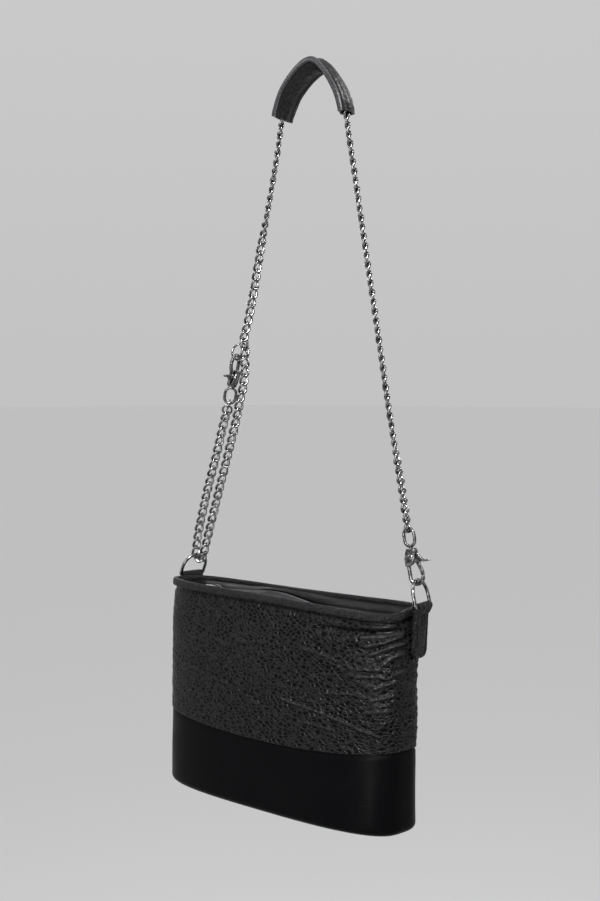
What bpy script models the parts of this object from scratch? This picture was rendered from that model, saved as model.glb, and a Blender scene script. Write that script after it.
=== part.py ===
# Leather pouch bag with a curb chain strap and a shoulder pad, hanging from its pad.
# Sizes are metres. X runs along the bag, Y from front to back, Z up.
# Inside the hang_frame empty, heights count from the bag's base and Y = 0 is the strap's plane.
import math

import bpy
import bmesh
import numpy as np
from mathutils import Matrix, Vector

MM = 0.001

# Clearances
GAP = 0.3 * MM
WALL = 1.8 * MM

# Bag body: a superellipse in plan that grows from the base to the rim
BASE_HALF_LENGTH = 149.0 * MM
BASE_HALF_DEPTH = 44.9 * MM
BASE_CENTRE_X = -1.0 * MM
BASE_LEVEL = -1.5 * MM
RIM_HALF_LENGTH = 150.5 * MM
RIM_HALF_DEPTH = 38.8 * MM
RIM_CENTRE_X = 0.5 * MM
RIM_HEIGHT = 204.0 * MM
RIM_END_RISE = 2.0 * MM
RIM_BACK_DROP = 4.5 * MM
RIM_FRONT_SAG = 8.2 * MM
SAG_FROM_X = -10.0 * MM
SAG_FULL_X = 140.0 * MM
SAG_FULL_Y = -40.0 * MM
SAG_GROWTH = 1.5
WAIST = 0.6 * MM
BAG_CENTRE_Y = -15.0 * MM
FRONT_EXPONENT = 3.0
BACK_EXPONENT = 4.0
BACK_BLEND_FROM = 0.66
AROUND = 48
TURN_WEIGHT = 1.1
BASE_EDGE_RADIUS = 6.0 * MM
MID_PANEL_SHARE = 0.6

# Lapped seam between the pebbled upper and the smooth lower
SEAM_HEIGHT = 75.0 * MM
SEAM_STEP = 0.8 * MM
SEAM_LAP = 6.0 * MM
SEAM_TUCK_DROP = 4.0 * MM
SEAM_DIP = 9.0 * MM

# Rolled binding over the top edge
BINDING_HEIGHT = 8.0 * MM
BINDING_THICK = 5.2 * MM
BINDING_LEATHER = 1.4 * MM
BINDING_SLOT_TOP = 1.9 * MM

# The recessed zip
ZIP_GAP = 8.0 * MM
STRIP_THICK = 1.6 * MM
STRIP_EDGE_DROP = 3.5 * MM
STRIP_MID_DROP = 5.3 * MM
STRIP_ZIP_DROP = 8.8 * MM
PUFF_MID_RISE = 4.7 * MM
PUFF_ZIP_RISE = 8.0 * MM
PUFF_X = -20.0 * MM
PUFF_HALF_LENGTH = 78.0 * MM
PUFF_ROUND = 0.3 * MM
STRIP_SHARES = (0.0, 0.35, 0.72, 1.0)
STRIP_QUARTER_MIX = 0.55
STRIP_MIN_REACH = 10.0 * MM
TAPE_WIDTH = 12.0 * MM
TAPE_THICK = 1.0 * MM
TEETH_WIDTH = 3.5 * MM
TEETH_HEIGHT = 1.7 * MM
TAPE_STATIONS = 17
TAPE_BELOW_STRIP = 0.9 * MM
TAPE_END_GAP = 0.7 * MM
SLIDER_X = -97.0 * MM
SLIDER_LENGTH = 12.0 * MM
SLIDER_WIDTH = 7.2 * MM
SLIDER_BODY = 2.2 * MM
SLIDER_SHOULDER = 0.7
BRIDGE_WIDTH = 1.6 * MM
BRIDGE_LENGTH = 8.0 * MM
BRIDGE_HEIGHT = 2.8 * MM
BRIDGE_WIRE = 1.0 * MM
BRIDGE_SINK = 0.5 * MM
BRIDGE_SHOULDER = 0.6
BRIDGE_CROWN = 0.3
PULLER_LENGTH = 17.5 * MM
PULLER_WIDTH = 4.6 * MM
PULLER_THICK = 1.1 * MM
PULLER_WINDOW = 4.6 * MM
PULLER_CORNER = 1.5 * MM

# Rings in the tabs at both ends
RING_WIRE = 1.65 * MM
RING_HALF_WIDTH = 14.25 * MM
RING_HEIGHT = 24.0 * MM
RING_CORNER = 2.2 * MM
RING_BAR_HEIGHT_LEFT = RIM_HEIGHT - 0.5 * MM
RING_BAR_HEIGHT_RIGHT = RIM_HEIGHT - 2.0 * MM
RING_LEAN_LEFT = math.radians(26.0)
RING_LEAN_RIGHT = math.radians(14.0)
TAB_TURN_LEFT = math.radians(6.0)
TAB_TURN_RIGHT = math.radians(12.5)
TAB_WIDTH = 24.0 * MM
TAB_LEATHER = 1.8 * MM
TAB_DROP = 46.5 * MM
TAB_CORNER = 7.0 * MM
TAB_LOOP_CLOSE = 8.0 * MM
TAB_CORNER_PLACES = (0.0, 0.55, 0.85, 1.0)
TAB_CORNER_RISE = 0.75
# How the loop's back closes to the seam: how far down, and how far from the seam to the loop's side
TAB_LOOP_BACK = [
    {"down": 0.35, "out": 0.75},
    {"down": 0.75, "out": 0.38},
    {"down": 1.0, "out": 0.0},
]

# Trigger snaps, in their own frame: origin at the collar's top, Z to the eye, X to the gate
COLLAR_TOP_RADIUS = 4.9 * MM
COLLAR_LOW_RADIUS = 3.8 * MM
COLLAR_HEIGHT = 3.0 * MM
COLLAR_RIM = 0.8 * MM
COLLAR_BEVEL = 0.4 * MM
COLLAR_FLOOR = 0.5 * MM
CUT_REACH = 30.0 * MM
OVERLAP = 0.2 * MM
CHEEK_HALF = 3.3 * MM
SLOT_HALF = 1.5 * MM
LEVER_HALF = SLOT_HALF - GAP
PIVOT_X = -0.8 * MM
PIVOT_Z = -8.2 * MM
PIN_RADIUS = 1.3 * MM
RIVET_RADIUS = 2.4 * MM
RIVET_HEIGHT = 0.6 * MM
RIVET_CROWN = 0.8
BOSS_RADIUS = 2.2 * MM
BOSS_FROM = 280.0
BOSS_TO = 80.0
BOSS_STEPS = 8
HOOK_WIRE = 1.75 * MM
HOOK_RADIUS = 6.2 * MM
HOOK_BACK_X = -5.0 * MM
HOOK_ROOT_Z = -11.0 * MM
HOOK_CENTRE_Z = -26.2 * MM
HOOK_TIP_Z = -24.2 * MM
TIP_SWEEP_FROM = -76.0
TIP_SWEEP_TO = -44.0
TIP_SWEEP_STEPS = 8
POST_RADIUS = 1.4 * MM
POST_HEAD_RADIUS = 2.2 * MM
POST_HEAD_HEIGHT = 1.0 * MM
EYE_WIRE = 1.5 * MM
EYE_HALF_WIDTH = 5.5 * MM
EYE_LENGTH = 16.1 * MM
LEAN_RIGHT_SNAP = math.radians(12.2)
EYE_TURN_RIGHT = math.radians(-8.0)
EYE_TURN_LEFT = math.radians(62.0)

# Chain: curb links, and the tubes that stand for its long runs
LINK_LENGTH = 11.4 * MM
LINK_WIDTH = 7.4 * MM
LINK_WIRE = 1.3 * MM
LINK_TWIST = math.radians(90.0)
LINK_TURN_LEFT = math.radians(84.0)
LINK_TURN_RIGHT = math.radians(109.3)
CHAIN_RADIUS = 3.2 * MM
ROUTE_STEP = 17.0 * MM
PAD_STEP = 9.0 * MM
FINE_STEPS = 24
LOOP_TURN_RADIUS = 5.6 * MM
LOOP_TURN_BACK = 2.5 * MM
LOOP_TURN_FROM = math.radians(-20.0)
LOOP_TURN_TO = math.radians(-196.0)
LOOP_TURN_STEPS = 8

# Rings between the left snap and the chain
ANCHOR_RING_RADIUS = 8.85 * MM
ANCHOR_RING_WIRE = 1.15 * MM
ANCHOR_RING_TURN = math.radians(24.0)
ANCHOR_RING_TILT = math.radians(18.0)
ANCHOR_LINK_AT = math.radians(70.0)
ANCHOR_HOOK_AT = math.radians(242.0)
ANCHOR_SEAT_GAP = 1.2 * MM
JUMP_RING_RADIUS = 4.6 * MM
JUMP_RING_WIRE = 1.0 * MM
RING_SEAT_GAP = 0.8 * MM

# Shoulder pad
PAD_HALF_WIDTH = 14.6 * MM
PAD_END_NARROWING = 0.12
PAD_HALF_THICK = 5.2 * MM
PAD_TURN = math.radians(13.0)
PAD_ROLL = -0.13
PAD_CROWN_ROLL = -0.12
PAD_TURN_FADE = (0.1, 0.6)
PAD_ROLL_GROW = (0.0, 0.45)
HANG_X = 28.5 * MM
PAD_CROWN_HEIGHT = 699.0 * MM
HANG_Z = PAD_CROWN_HEIGHT - PAD_HALF_THICK


# The chain's route as it hangs in the strap's plane, in X and Z. The lower run has its Y too,
# for it lies a little back on the left ring.
RIGHT_STRAND = [
    (0.1274, 0.3153),
    (0.1155, 0.3692),
    (0.1051, 0.4235),
    (0.0945, 0.4782),
    (0.0837, 0.5335),
    (0.0730, 0.5891),
    (0.0650, 0.6300),
]
PAD_LINE = [
    (0.0618, 0.6500),
    (0.0566, 0.6672),
    (0.0440, 0.6868),
    (HANG_X, PAD_CROWN_HEIGHT),
    (0.0100, 0.6940),
    (-0.0092, 0.6782),
    (-0.0190, 0.6610),
    (-0.0212, 0.6545),
]
LEFT_STRAND = [
    (-0.0262, 0.6290),
    (-0.0358, 0.5888),
    (-0.0509, 0.5319),
    (-0.0640, 0.4770),
]
ANCHOR_LINK_POINT = (-0.0740, 0.4404)
MAIN_STRAND = [
    (-0.0730, 0.0, 0.4225),
    (-0.0742, 0.0, 0.4046),
    (-0.0791, 0.0, 0.3887),
    (-0.0840, 0.0, 0.3713),
    (-0.0930, 0.0, 0.3443),
    (-0.1124, 0.0010, 0.2929),
    (-0.1282, 0.0020, 0.2511),
]
RETURN_STRAND = [
    (-0.1442, 0.0020, 0.2502),
    (-0.1298, 0.0010, 0.2921),
    (-0.1173, 0.0, 0.3233),
]
END_LINK_LEFT_POINT = (-0.1052, 0.3590)
# Where the left snap's collar hangs below its ring
LEFT_SNAP_POINT = (-0.0939, -0.0040, 0.3780)


def clear_scene():
    for old in list(bpy.data.objects):
        bpy.data.objects.remove(old, do_unlink=True)


def make_material(name, colour, roughness, metallic):
    material = bpy.data.materials.new(name)
    material.use_nodes = True
    shader = material.node_tree.nodes["Principled BSDF"]
    shader.inputs["Base Color"].default_value = (*colour, 1.0)
    shader.inputs["Roughness"].default_value = roughness
    shader.inputs["Metallic"].default_value = metallic
    material.diffuse_color = (*colour, 1.0)
    return material


FINISHES = {
    "pebbled_leather": ((0.020, 0.020, 0.021), 0.48, 0.0),
    "smooth_leather": ((0.012, 0.012, 0.013), 0.40, 0.0),
    "edge_leather": ((0.024, 0.024, 0.025), 0.45, 0.0),
    "zip_tape": ((0.014, 0.014, 0.015), 0.80, 0.0),
    "nickel": ((0.55, 0.55, 0.56), 0.28, 1.0),
}


def mesh_from(points, faces):
    mesh = bpy.data.meshes.new("shape")
    mesh.from_pydata([tuple(p) for p in points], [], faces)
    work = bmesh.new()
    work.from_mesh(mesh)
    bmesh.ops.recalc_face_normals(work, faces=work.faces)
    work.to_mesh(mesh)
    work.free()
    return mesh


# A skin over equal rings of points. Ends are capped, or the last ring joins the first.
def skin(rings, joined=False):
    count = len(rings[0])
    points = [p for ring in rings for p in ring]
    faces = []
    pairs = len(rings) if joined else len(rings) - 1
    for i in range(pairs):
        a = i * count
        b = ((i + 1) % len(rings)) * count
        for j in range(count):
            k = (j + 1) % count
            faces.append((a + j, a + k, b + k, b + j))
    if not joined:
        faces.append(tuple(range(count)))
        last = (len(rings) - 1) * count
        faces.append(tuple(last + j for j in reversed(range(count))))
    return mesh_from(points, faces)


def temporary(mesh):
    shape = bpy.data.objects.new("shape", mesh)
    bpy.context.scene.collection.objects.link(shape)
    shape.hide_render = True
    shape.display_type = "WIRE"
    return shape


# One mesh out of a base mesh and a list of (operation, mesh) steps, in a shared frame
def combined(base, steps):
    body = temporary(base)
    tools = []
    for operation, mesh in steps:
        tool = temporary(mesh)
        tools.append(tool)
        cut = body.modifiers.new(operation.lower(), "BOOLEAN")
        cut.operation = operation
        cut.solver = "EXACT"
        cut.object = tool
    bpy.context.view_layer.update()
    graph = bpy.context.evaluated_depsgraph_get()
    result = bpy.data.meshes.new_from_object(body.evaluated_get(graph))
    for tool in tools + [body]:
        bpy.data.objects.remove(tool, do_unlink=True)
    return result


def box_mesh(low, high):
    x, y, z = zip(low, high)
    rings = []
    for level in z:
        corners = [(x[0], y[0]), (x[1], y[0]), (x[1], y[1]), (x[0], y[1])]
        rings.append([(across, deep, level) for across, deep in corners])
    return skin(rings)


# A plate cut to an outline in X and Z, between two values of Y
def plate_mesh(outline, y_low, y_high):
    return skin([[(x, y, z) for x, z in outline] for y in (y_low, y_high)])


# A turned piece about a line along the axis: rows are (distance along it, radius)
def turned_mesh(rows, centre, axis, sides):
    axis = Vector(axis).normalized()
    side = axis.orthogonal().normalized()
    other = axis.cross(side)
    rings = []
    for along, radius in rows:
        ring = []
        for i in range(sides):
            angle = 2 * math.pi * i / sides
            spoke = math.cos(angle) * side + math.sin(angle) * other
            ring.append(Vector(centre) + axis * along + radius * spoke)
        rings.append(ring)
    return skin(rings)


# Round wire along a path. The reference at each point keeps the sides from turning.
def wire_mesh(path, references, radius, sides, closed):
    count = len(path)
    rings = []
    for i in range(count):
        before = path[i - 1] if (closed or i > 0) else path[i]
        after = path[(i + 1) % count] if (closed or i < count - 1) else path[i]
        tangent = (Vector(after) - Vector(before)).normalized()
        side = Vector(references[i])
        side = (side - tangent * side.dot(tangent)).normalized()
        other = tangent.cross(side)
        ring = []
        for j in range(sides):
            angle = 2 * math.pi * (j + 0.5) / sides
            spoke = math.cos(angle) * side + math.sin(angle) * other
            ring.append(Vector(path[i]) + radius * spoke)
        rings.append(ring)
    return skin(rings, joined=closed)


def place(name, mesh, finish, matrix=None, smooth_degrees=35.0):
    node = bpy.data.objects.new(name, mesh)
    bpy.context.scene.collection.objects.link(node)
    colour, roughness, metallic = FINISHES[finish]
    mesh.materials.clear()
    mesh.materials.append(make_material(name, colour, roughness, metallic))
    mesh.shade_smooth()
    mesh.set_sharp_from_angle(angle=math.radians(smooth_degrees))
    node.parent = bpy.data.objects["hang_frame"]
    if matrix is not None:
        node.matrix_basis = matrix
    return node


def frame_at(origin, x_axis, z_axis):
    z_axis = Vector(z_axis).normalized()
    x_axis = Vector(x_axis)
    x_axis = (x_axis - z_axis * x_axis.dot(z_axis)).normalized()
    y_axis = z_axis.cross(x_axis)
    matrix = Matrix((x_axis, y_axis, z_axis)).transposed().to_4x4()
    matrix.translation = Vector(origin)
    return matrix


def smooth_step(value, low, high):
    share = min(max((value - low) / (high - low), 0.0), 1.0)
    return share * share * (3 - 2 * share)


def flat_direction(turn):
    return Vector((math.cos(turn), math.sin(turn), 0.0))


# Directions round the plan, closer together where it turns. They are shares of the half sizes.
def plan_directions():
    fine = np.linspace(0.0, 2 * math.pi, 7201)
    x, y = plan_curve(fine, BASE_HALF_LENGTH, BASE_HALF_DEPTH, FRONT_EXPONENT, FRONT_EXPONENT)
    step = np.hypot(np.diff(x), np.diff(y))
    heading = np.unwrap(np.arctan2(np.diff(y), np.diff(x)))
    turn = np.abs(np.diff(heading, append=heading[-1]))
    measure = step / step.sum() + TURN_WEIGHT * turn / turn.sum()
    total = np.concatenate(([0.0], np.cumsum(measure)))
    wanted = np.linspace(0.0, total[-1], AROUND, endpoint=False)
    return np.interp(wanted, total, fine)


def plan_curve(angle, half_length, half_depth, front, back):
    exponent = np.where(np.sin(angle) < 0, front, back)
    across, deep = np.abs(np.cos(angle)), np.abs(np.sin(angle))
    reach = (across ** exponent + deep ** exponent) ** (-1.0 / exponent)
    return half_length * reach * np.cos(angle), half_depth * reach * np.sin(angle)


# The plan at a share of the rim's height, moved in by an inset along its own normal
def plan_ring(share, inset, angles):
    half_length = BASE_HALF_LENGTH + (RIM_HALF_LENGTH - BASE_HALF_LENGTH) * share
    half_length -= WAIST * math.sin(math.pi * share)
    centre_x = BASE_CENTRE_X + (RIM_CENTRE_X - BASE_CENTRE_X) * share
    half_depth = BASE_HALF_DEPTH + (RIM_HALF_DEPTH - BASE_HALF_DEPTH) * share
    back = FRONT_EXPONENT + (BACK_EXPONENT - FRONT_EXPONENT) * smooth_step(share, BACK_BLEND_FROM, 1.0)
    x, y = plan_curve(angles, half_length, half_depth, FRONT_EXPONENT, back)
    exponent = np.where(y < 0, FRONT_EXPONENT, back)
    slope_x = np.sign(x) * np.abs(x / half_length) ** (exponent - 1) / half_length
    slope_y = np.sign(y) * np.abs(y / half_depth) ** (exponent - 1) / half_depth
    size = np.hypot(slope_x, slope_y)
    return x - inset * slope_x / size + centre_x, y - inset * slope_y / size + BAG_CENTRE_Y


# The rim rises a little to its ends, falls to the back and sags at the right front corner
def height_at(share, x, y):
    rise = RIM_END_RISE * (x / RIM_HALF_LENGTH) ** 2
    fall = RIM_BACK_DROP * (0.5 + 0.5 * (y - BAG_CENTRE_Y) / RIM_HALF_DEPTH)
    along = min(max((x - SAG_FROM_X) / (SAG_FULL_X - SAG_FROM_X), 0.0), 1.0)
    sag = RIM_FRONT_SAG * along ** SAG_GROWTH * smooth_step(-y, 0.0, -SAG_FULL_Y)
    return RIM_HEIGHT * share + (rise - fall - sag) * share ** 3


# The soft fold below the rim at the right front. Each row is a swell or the crease between
# them: how far above the crease it is, as a share of the rim's height, and how far in it goes.
FOLD_FROM_X = 60.0 * MM
FOLD_FULL_X = 105.0 * MM
FOLD_LEFT_SHARE = 0.898
FOLD_RIGHT_SHARE = 0.915
FOLD_FRONT_FROM = 0.05
FOLD_FRONT_FULL = 0.45
FOLD_FADE_SHARE = 0.945
FOLD_ROWS = [
    {"above": 0.0, "spread": 0.018, "inset": 2.2 * MM},
    {"above": -0.040, "spread": 0.026, "inset": -1.3 * MM},
    {"above": 0.036, "spread": 0.020, "inset": -1.0 * MM},
]


def fold_inset(x, y, share):
    along = smooth_step(x, FOLD_FROM_X, FOLD_FULL_X)
    reach = (BAG_CENTRE_Y - y) / RIM_HALF_DEPTH
    front = smooth_step(reach, FOLD_FRONT_FROM, FOLD_FRONT_FULL)
    to_end = smooth_step(x, FOLD_FULL_X, RIM_HALF_LENGTH)
    crease = FOLD_LEFT_SHARE + (FOLD_RIGHT_SHARE - FOLD_LEFT_SHARE) * to_end
    shape = sum(row["inset"] * math.exp(-((share - crease - row["above"]) / row["spread"]) ** 2)
                for row in FOLD_ROWS)
    fade = 1.0 - smooth_step(share, FOLD_FADE_SHARE, 1.0 - BINDING_HEIGHT / RIM_HEIGHT)
    return along * front * fade * shape


# The dip says how much of the seam's sag this ring follows
def body_ring(share, inset, dip=0.0, folds=False):
    x, y = plan_ring(share, inset, ANGLES)
    if folds:
        extra = np.array([fold_inset(px, py, share) for px, py in zip(x, y)])
        x, y = plan_ring(share, inset + extra, ANGLES)
    sag = dip * SEAM_DIP * (1 - (x / RIM_HALF_LENGTH) ** 2)
    return [(px, py, height_at(share, px, py) - low) for px, py, low in zip(x, y, sag)]


WALL_IN_BINDING = BINDING_LEATHER + GAP

# Outer face of the upper from the seam up: share of the rim's height, inset as a share of the
# inset that the wall has inside the binding, and how much of the seam's sag it follows
UPPER_ROWS = [
    {"share": SEAM_HEIGHT / RIM_HEIGHT, "inset": 0.0, "dip": 1.0},
    {"share": 0.50, "inset": 0.0, "dip": 0.5},
    {"share": 0.65, "inset": 0.05, "dip": 0.2},
    {"share": 0.76, "inset": 0.3, "dip": 0.0},
    {"share": 0.84, "inset": 0.6, "dip": 0.0},
    {"share": 0.875, "inset": 0.95, "dip": 0.0},
    {"share": 0.90, "inset": 1.25, "dip": 0.0},
    {"share": 0.918, "inset": 1.4, "dip": 0.0},
    {"share": 0.94, "inset": 1.55, "dip": 0.0},
    {"share": 1.0 - BINDING_HEIGHT / RIM_HEIGHT, "inset": 1.0, "dip": 0.0},
    {"share": 1.0 - (BINDING_SLOT_TOP + GAP) / RIM_HEIGHT, "inset": 1.0, "dip": 0.0},
]


def build_upper():
    outer = []
    inner = []
    for row in UPPER_ROWS:
        inset = row["inset"] * WALL_IN_BINDING
        outer.append(body_ring(row["share"], inset, row["dip"], folds=True))
        inner.append(body_ring(row["share"], inset + WALL, row["dip"], folds=True))
    place("upper_body", skin(outer + inner[::-1], joined=True), "pebbled_leather", smooth_degrees=60.0)


def build_lower():
    radius = BASE_EDGE_RADIUS
    tucked = WALL + GAP
    edge_rows = []
    for turn in (0.0, 30.0, 60.0, 90.0):
        angle = math.radians(turn)
        rise = radius * (1 - math.cos(angle))
        edge_rows.append((BASE_LEVEL + rise, SEAM_STEP + radius * (1 - math.sin(angle)), 0.0))
    wall_rows = [
        (MID_PANEL_SHARE * SEAM_HEIGHT, SEAM_STEP, MID_PANEL_SHARE),
        (SEAM_HEIGHT - SEAM_TUCK_DROP, SEAM_STEP, 1.0),
        (SEAM_HEIGHT - GAP, tucked, 1.0),
        (SEAM_HEIGHT + SEAM_LAP, tucked, 1.0),
    ]
    outer = [body_ring(z / RIM_HEIGHT, inset, dip) for z, inset, dip in edge_rows + wall_rows]
    inner = [body_ring(z / RIM_HEIGHT, inset + WALL, dip) for z, inset, dip in wall_rows[::-1]]
    inner_radius = radius - WALL
    for turn in (90.0, 45.0, 0.0):
        angle = math.radians(turn)
        z = BASE_LEVEL + WALL + inner_radius * (1 - math.cos(angle))
        inset = SEAM_STEP + WALL + inner_radius * (1 - math.sin(angle))
        inner.append(body_ring(z / RIM_HEIGHT, inset))
    place("lower_body", skin(outer + inner), "smooth_leather", smooth_degrees=60.0)


# The binding's section: inset as a share of its thickness, drop as a share of its height
BINDING_ROUND = [
    {"inset": 0.08, "drop": 1.0},
    {"inset": 0.0, "drop": 0.78},
    {"inset": 0.0, "drop": 0.36},
    {"inset": 0.16, "drop": 0.11},
    {"inset": 0.5, "drop": 0.0},
    {"inset": 0.84, "drop": 0.11},
    {"inset": 1.0, "drop": 0.36},
    {"inset": 1.0, "drop": 1.0},
]


def build_binding():
    rows = [(row["inset"] * BINDING_THICK, row["drop"] * BINDING_HEIGHT) for row in BINDING_ROUND]
    slot_outer = BINDING_LEATHER
    slot_inner = BINDING_LEATHER + GAP + WALL + GAP
    rows += [(slot_inner, BINDING_HEIGHT), (slot_inner, BINDING_SLOT_TOP)]
    rows += [(slot_outer, BINDING_SLOT_TOP), (slot_outer, BINDING_HEIGHT)]
    rings = [body_ring(1.0 - drop / RIM_HEIGHT, inset) for inset, drop in rows]
    place("rim_binding", skin(rings, joined=True), "edge_leather", smooth_degrees=60.0)


def puff_at(x):
    share = min(abs(x - PUFF_X) / PUFF_HALF_LENGTH, 1.0)
    return math.cos(0.5 * math.pi * share) ** 2


def zip_edge_height(x):
    return height_at(1.0, x, BAG_CENTRE_Y) - STRIP_ZIP_DROP + PUFF_ZIP_RISE * puff_at(x)


# One facing: from the binding's inner side down and over to the zip's edge
def build_strip(name, side):
    inset = BINDING_THICK + GAP
    x, y = plan_ring(1.0, inset, ANGLES)
    stations = []
    for px, py in zip(x, y):
        reach = side * (py - BAG_CENTRE_Y)
        if reach > STRIP_MIN_REACH:
            stations.append((px, py))
    stations.sort()
    rings = []
    for px, py in stations:
        zip_y = BAG_CENTRE_Y + side * ZIP_GAP / 2
        puff = puff_at(px)
        edge = height_at(1.0, px, py) - STRIP_EDGE_DROP
        middle = height_at(1.0, px, BAG_CENTRE_Y) - STRIP_MID_DROP + PUFF_MID_RISE * puff
        quarter = edge + STRIP_QUARTER_MIX * (middle - edge) + PUFF_ROUND * puff
        heights = [edge, quarter, middle, zip_edge_height(px)]
        over = [(px, py + (zip_y - py) * s, z) for s, z in zip(STRIP_SHARES, heights)]
        under = [(a, b, c - STRIP_THICK) for a, b, c in reversed(over)]
        rings.append(over + under)
    place(name, skin(rings), "edge_leather", smooth_degrees=60.0)


def tape_top(x):
    return zip_edge_height(x) - STRIP_THICK - TAPE_BELOW_STRIP


def build_tape():
    reach = RIM_HALF_LENGTH - BINDING_THICK - TAPE_END_GAP
    half, teeth = TAPE_WIDTH / 2, TEETH_WIDTH / 2
    rings = []
    for i in range(TAPE_STATIONS):
        x = RIM_CENTRE_X + reach * (2 * i / (TAPE_STATIONS - 1) - 1)
        top = tape_top(x)
        low = top - TAPE_THICK
        high = top + TEETH_HEIGHT
        section = [(-half, low), (half, low), (half, top), (teeth, top)]
        section += [(teeth, high), (-teeth, high), (-teeth, top), (-half, top)]
        rings.append([(x, BAG_CENTRE_Y + y, z) for y, z in section])
    place("zip_tape", skin(rings), "zip_tape", smooth_degrees=20.0)


def build_slider_and_puller():
    # The slider rides over the teeth, tipped with the zip's own slope
    half_length = SLIDER_LENGTH / 2
    low = tape_top(SLIDER_X - half_length)
    high = tape_top(SLIDER_X + half_length)
    along = Vector((SLIDER_LENGTH, 0.0, high - low)).normalized()
    up = Vector((-along.z, 0.0, along.x))
    base = Vector((SLIDER_X, BAG_CENTRE_Y, (low + high) / 2)) + up * 2 * GAP
    frame = frame_at(base, along, up)
    roof = TEETH_HEIGHT + SLIDER_BODY
    shoulder = SLIDER_SHOULDER * roof
    flat = SLIDER_SHOULDER * half_length
    outline = [(-half_length, 0.0), (half_length, 0.0), (half_length, shoulder)]
    outline += [(flat, roof), (-flat, roof), (-half_length, shoulder)]
    half = SLIDER_WIDTH / 2
    channel = TEETH_WIDTH / 2 + GAP
    channel_top = TEETH_HEIGHT + GAP
    reach = SLIDER_LENGTH
    body = plate_mesh(outline, -half, half)
    groove = box_mesh((-reach, -channel, -reach), (reach, channel, channel_top))
    arch_half = BRIDGE_LENGTH / 2
    arch_sink = roof - BRIDGE_SINK
    arch_shoulder = roof + BRIDGE_SHOULDER * BRIDGE_HEIGHT
    arch_top = roof + BRIDGE_HEIGHT
    crown = BRIDGE_CROWN * BRIDGE_LENGTH
    arch_outer = [(-arch_half, arch_sink), (arch_half, arch_sink), (arch_half, arch_shoulder)]
    arch_outer += [(crown, arch_top), (-crown, arch_top), (-arch_half, arch_shoulder)]
    arch = plate_mesh(arch_outer, -BRIDGE_WIDTH / 2, BRIDGE_WIDTH / 2)
    hole_half = arch_half - BRIDGE_WIRE
    hole_top = roof + BRIDGE_HEIGHT - BRIDGE_WIRE
    window = box_mesh((-hole_half, -BRIDGE_WIDTH, roof), (hole_half, BRIDGE_WIDTH, hole_top))
    bridge = combined(arch, [("DIFFERENCE", window)])
    mesh = combined(body, [("DIFFERENCE", groove), ("UNION", bridge)])
    place("zip_slider", mesh, "nickel", frame)

    # The puller's end bar lies in the bridge's window, and its plate lies back toward the left
    bar = PULLER_THICK
    hinge_x = -hole_half + GAP + bar / 2
    hinge_z = (roof + hole_top) / 2
    hinge = frame @ Vector((hinge_x, 0.0, hinge_z))
    width = PULLER_WIDTH / 2
    cut = BRIDGE_WIDTH / 2 + GAP
    side_end = PULLER_LENGTH - PULLER_CORNER
    outline = [(-bar / 2, -width), (side_end, -width), (PULLER_LENGTH, -width / 2)]
    outline += [(PULLER_LENGTH, width / 2), (side_end, width), (-bar / 2, width)]
    plate = skin([[(x, y, z) for x, y in outline] for z in (-bar / 2, bar / 2)])
    slot = box_mesh((bar / 2, -cut, -bar), (bar / 2 + PULLER_WINDOW, cut, bar))
    puller_frame = frame_at(hinge, -along, up)
    place("zip_puller", combined(plate, [("DIFFERENCE", slot)]), "nickel", puller_frame)


def plan_reach(direction, across, share, inset, half_width):
    fine = np.linspace(0.0, 2 * math.pi, 1441)
    x, y = plan_ring(share, inset, fine)
    out = x * direction.x + y * direction.y
    side = (x - math.copysign(RIM_HALF_LENGTH, direction.x)) * across.x + y * across.y
    return float(out[(np.abs(side) <= half_width) & (out > 0)].max())


# Where the ring's bar lies at one end, and the tab's and ring's directions there
def end_layout(sign, turn, bar_height, lean):
    outward = Vector((sign * math.cos(turn), math.sin(turn), 0.0))
    across = Vector((-outward.y, outward.x, 0.0))
    half_width = TAB_WIDTH / 2 + RING_CORNER
    loop_radius = RING_WIRE + GAP + TAB_LEATHER
    rim_reach = plan_reach(outward, across, 1.0, 0.0, half_width)
    distance = rim_reach + GAP + loop_radius
    bar = Vector((distance / outward.x, 0.0, bar_height))
    low_share = (bar_height - TAB_DROP) / RIM_HEIGHT
    low_reach = plan_reach(outward, across, low_share, 0.0, half_width)
    tab_lean = math.atan2(rim_reach - low_reach, TAB_DROP - BINDING_HEIGHT)
    ring_up = -outward * math.sin(lean) + Vector((0, 0, math.cos(lean)))
    tab_up = outward * math.sin(tab_lean) + Vector((0, 0, math.cos(tab_lean)))
    top = bar + ring_up * RING_HEIGHT
    return {
        "outward": outward,
        "across": across,
        "bar": bar,
        "ring_up": ring_up,
        "tab_up": tab_up,
        "top": top,
    }


def arc(centre_x, centre_z, radius, start, end, steps):
    points = []
    for i in range(steps + 1):
        angle = math.radians(start + (end - start) * i / steps)
        points.append((centre_x + radius * math.cos(angle), centre_z + radius * math.sin(angle)))
    return points


def build_d_ring(name, layout):
    # A straight bar, rounded corners, legs and a half round top
    corner = RING_HALF_WIDTH - RING_CORNER
    path = arc(corner, RING_CORNER, RING_CORNER, -90.0, 0.0, 2)
    path += arc(0.0, RING_HEIGHT - RING_HALF_WIDTH, RING_HALF_WIDTH, 0.0, 180.0, 12)
    path += arc(-corner, RING_CORNER, RING_CORNER, 180.0, 270.0, 2)
    path = [Vector((x, 0.0, z)) for x, z in path]
    mesh = wire_mesh(path, [Vector((0, 1, 0))] * len(path), RING_WIRE, 10, True)
    place(name, mesh, "nickel", frame_at(layout["bar"], layout["across"], layout["ring_up"]))


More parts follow.
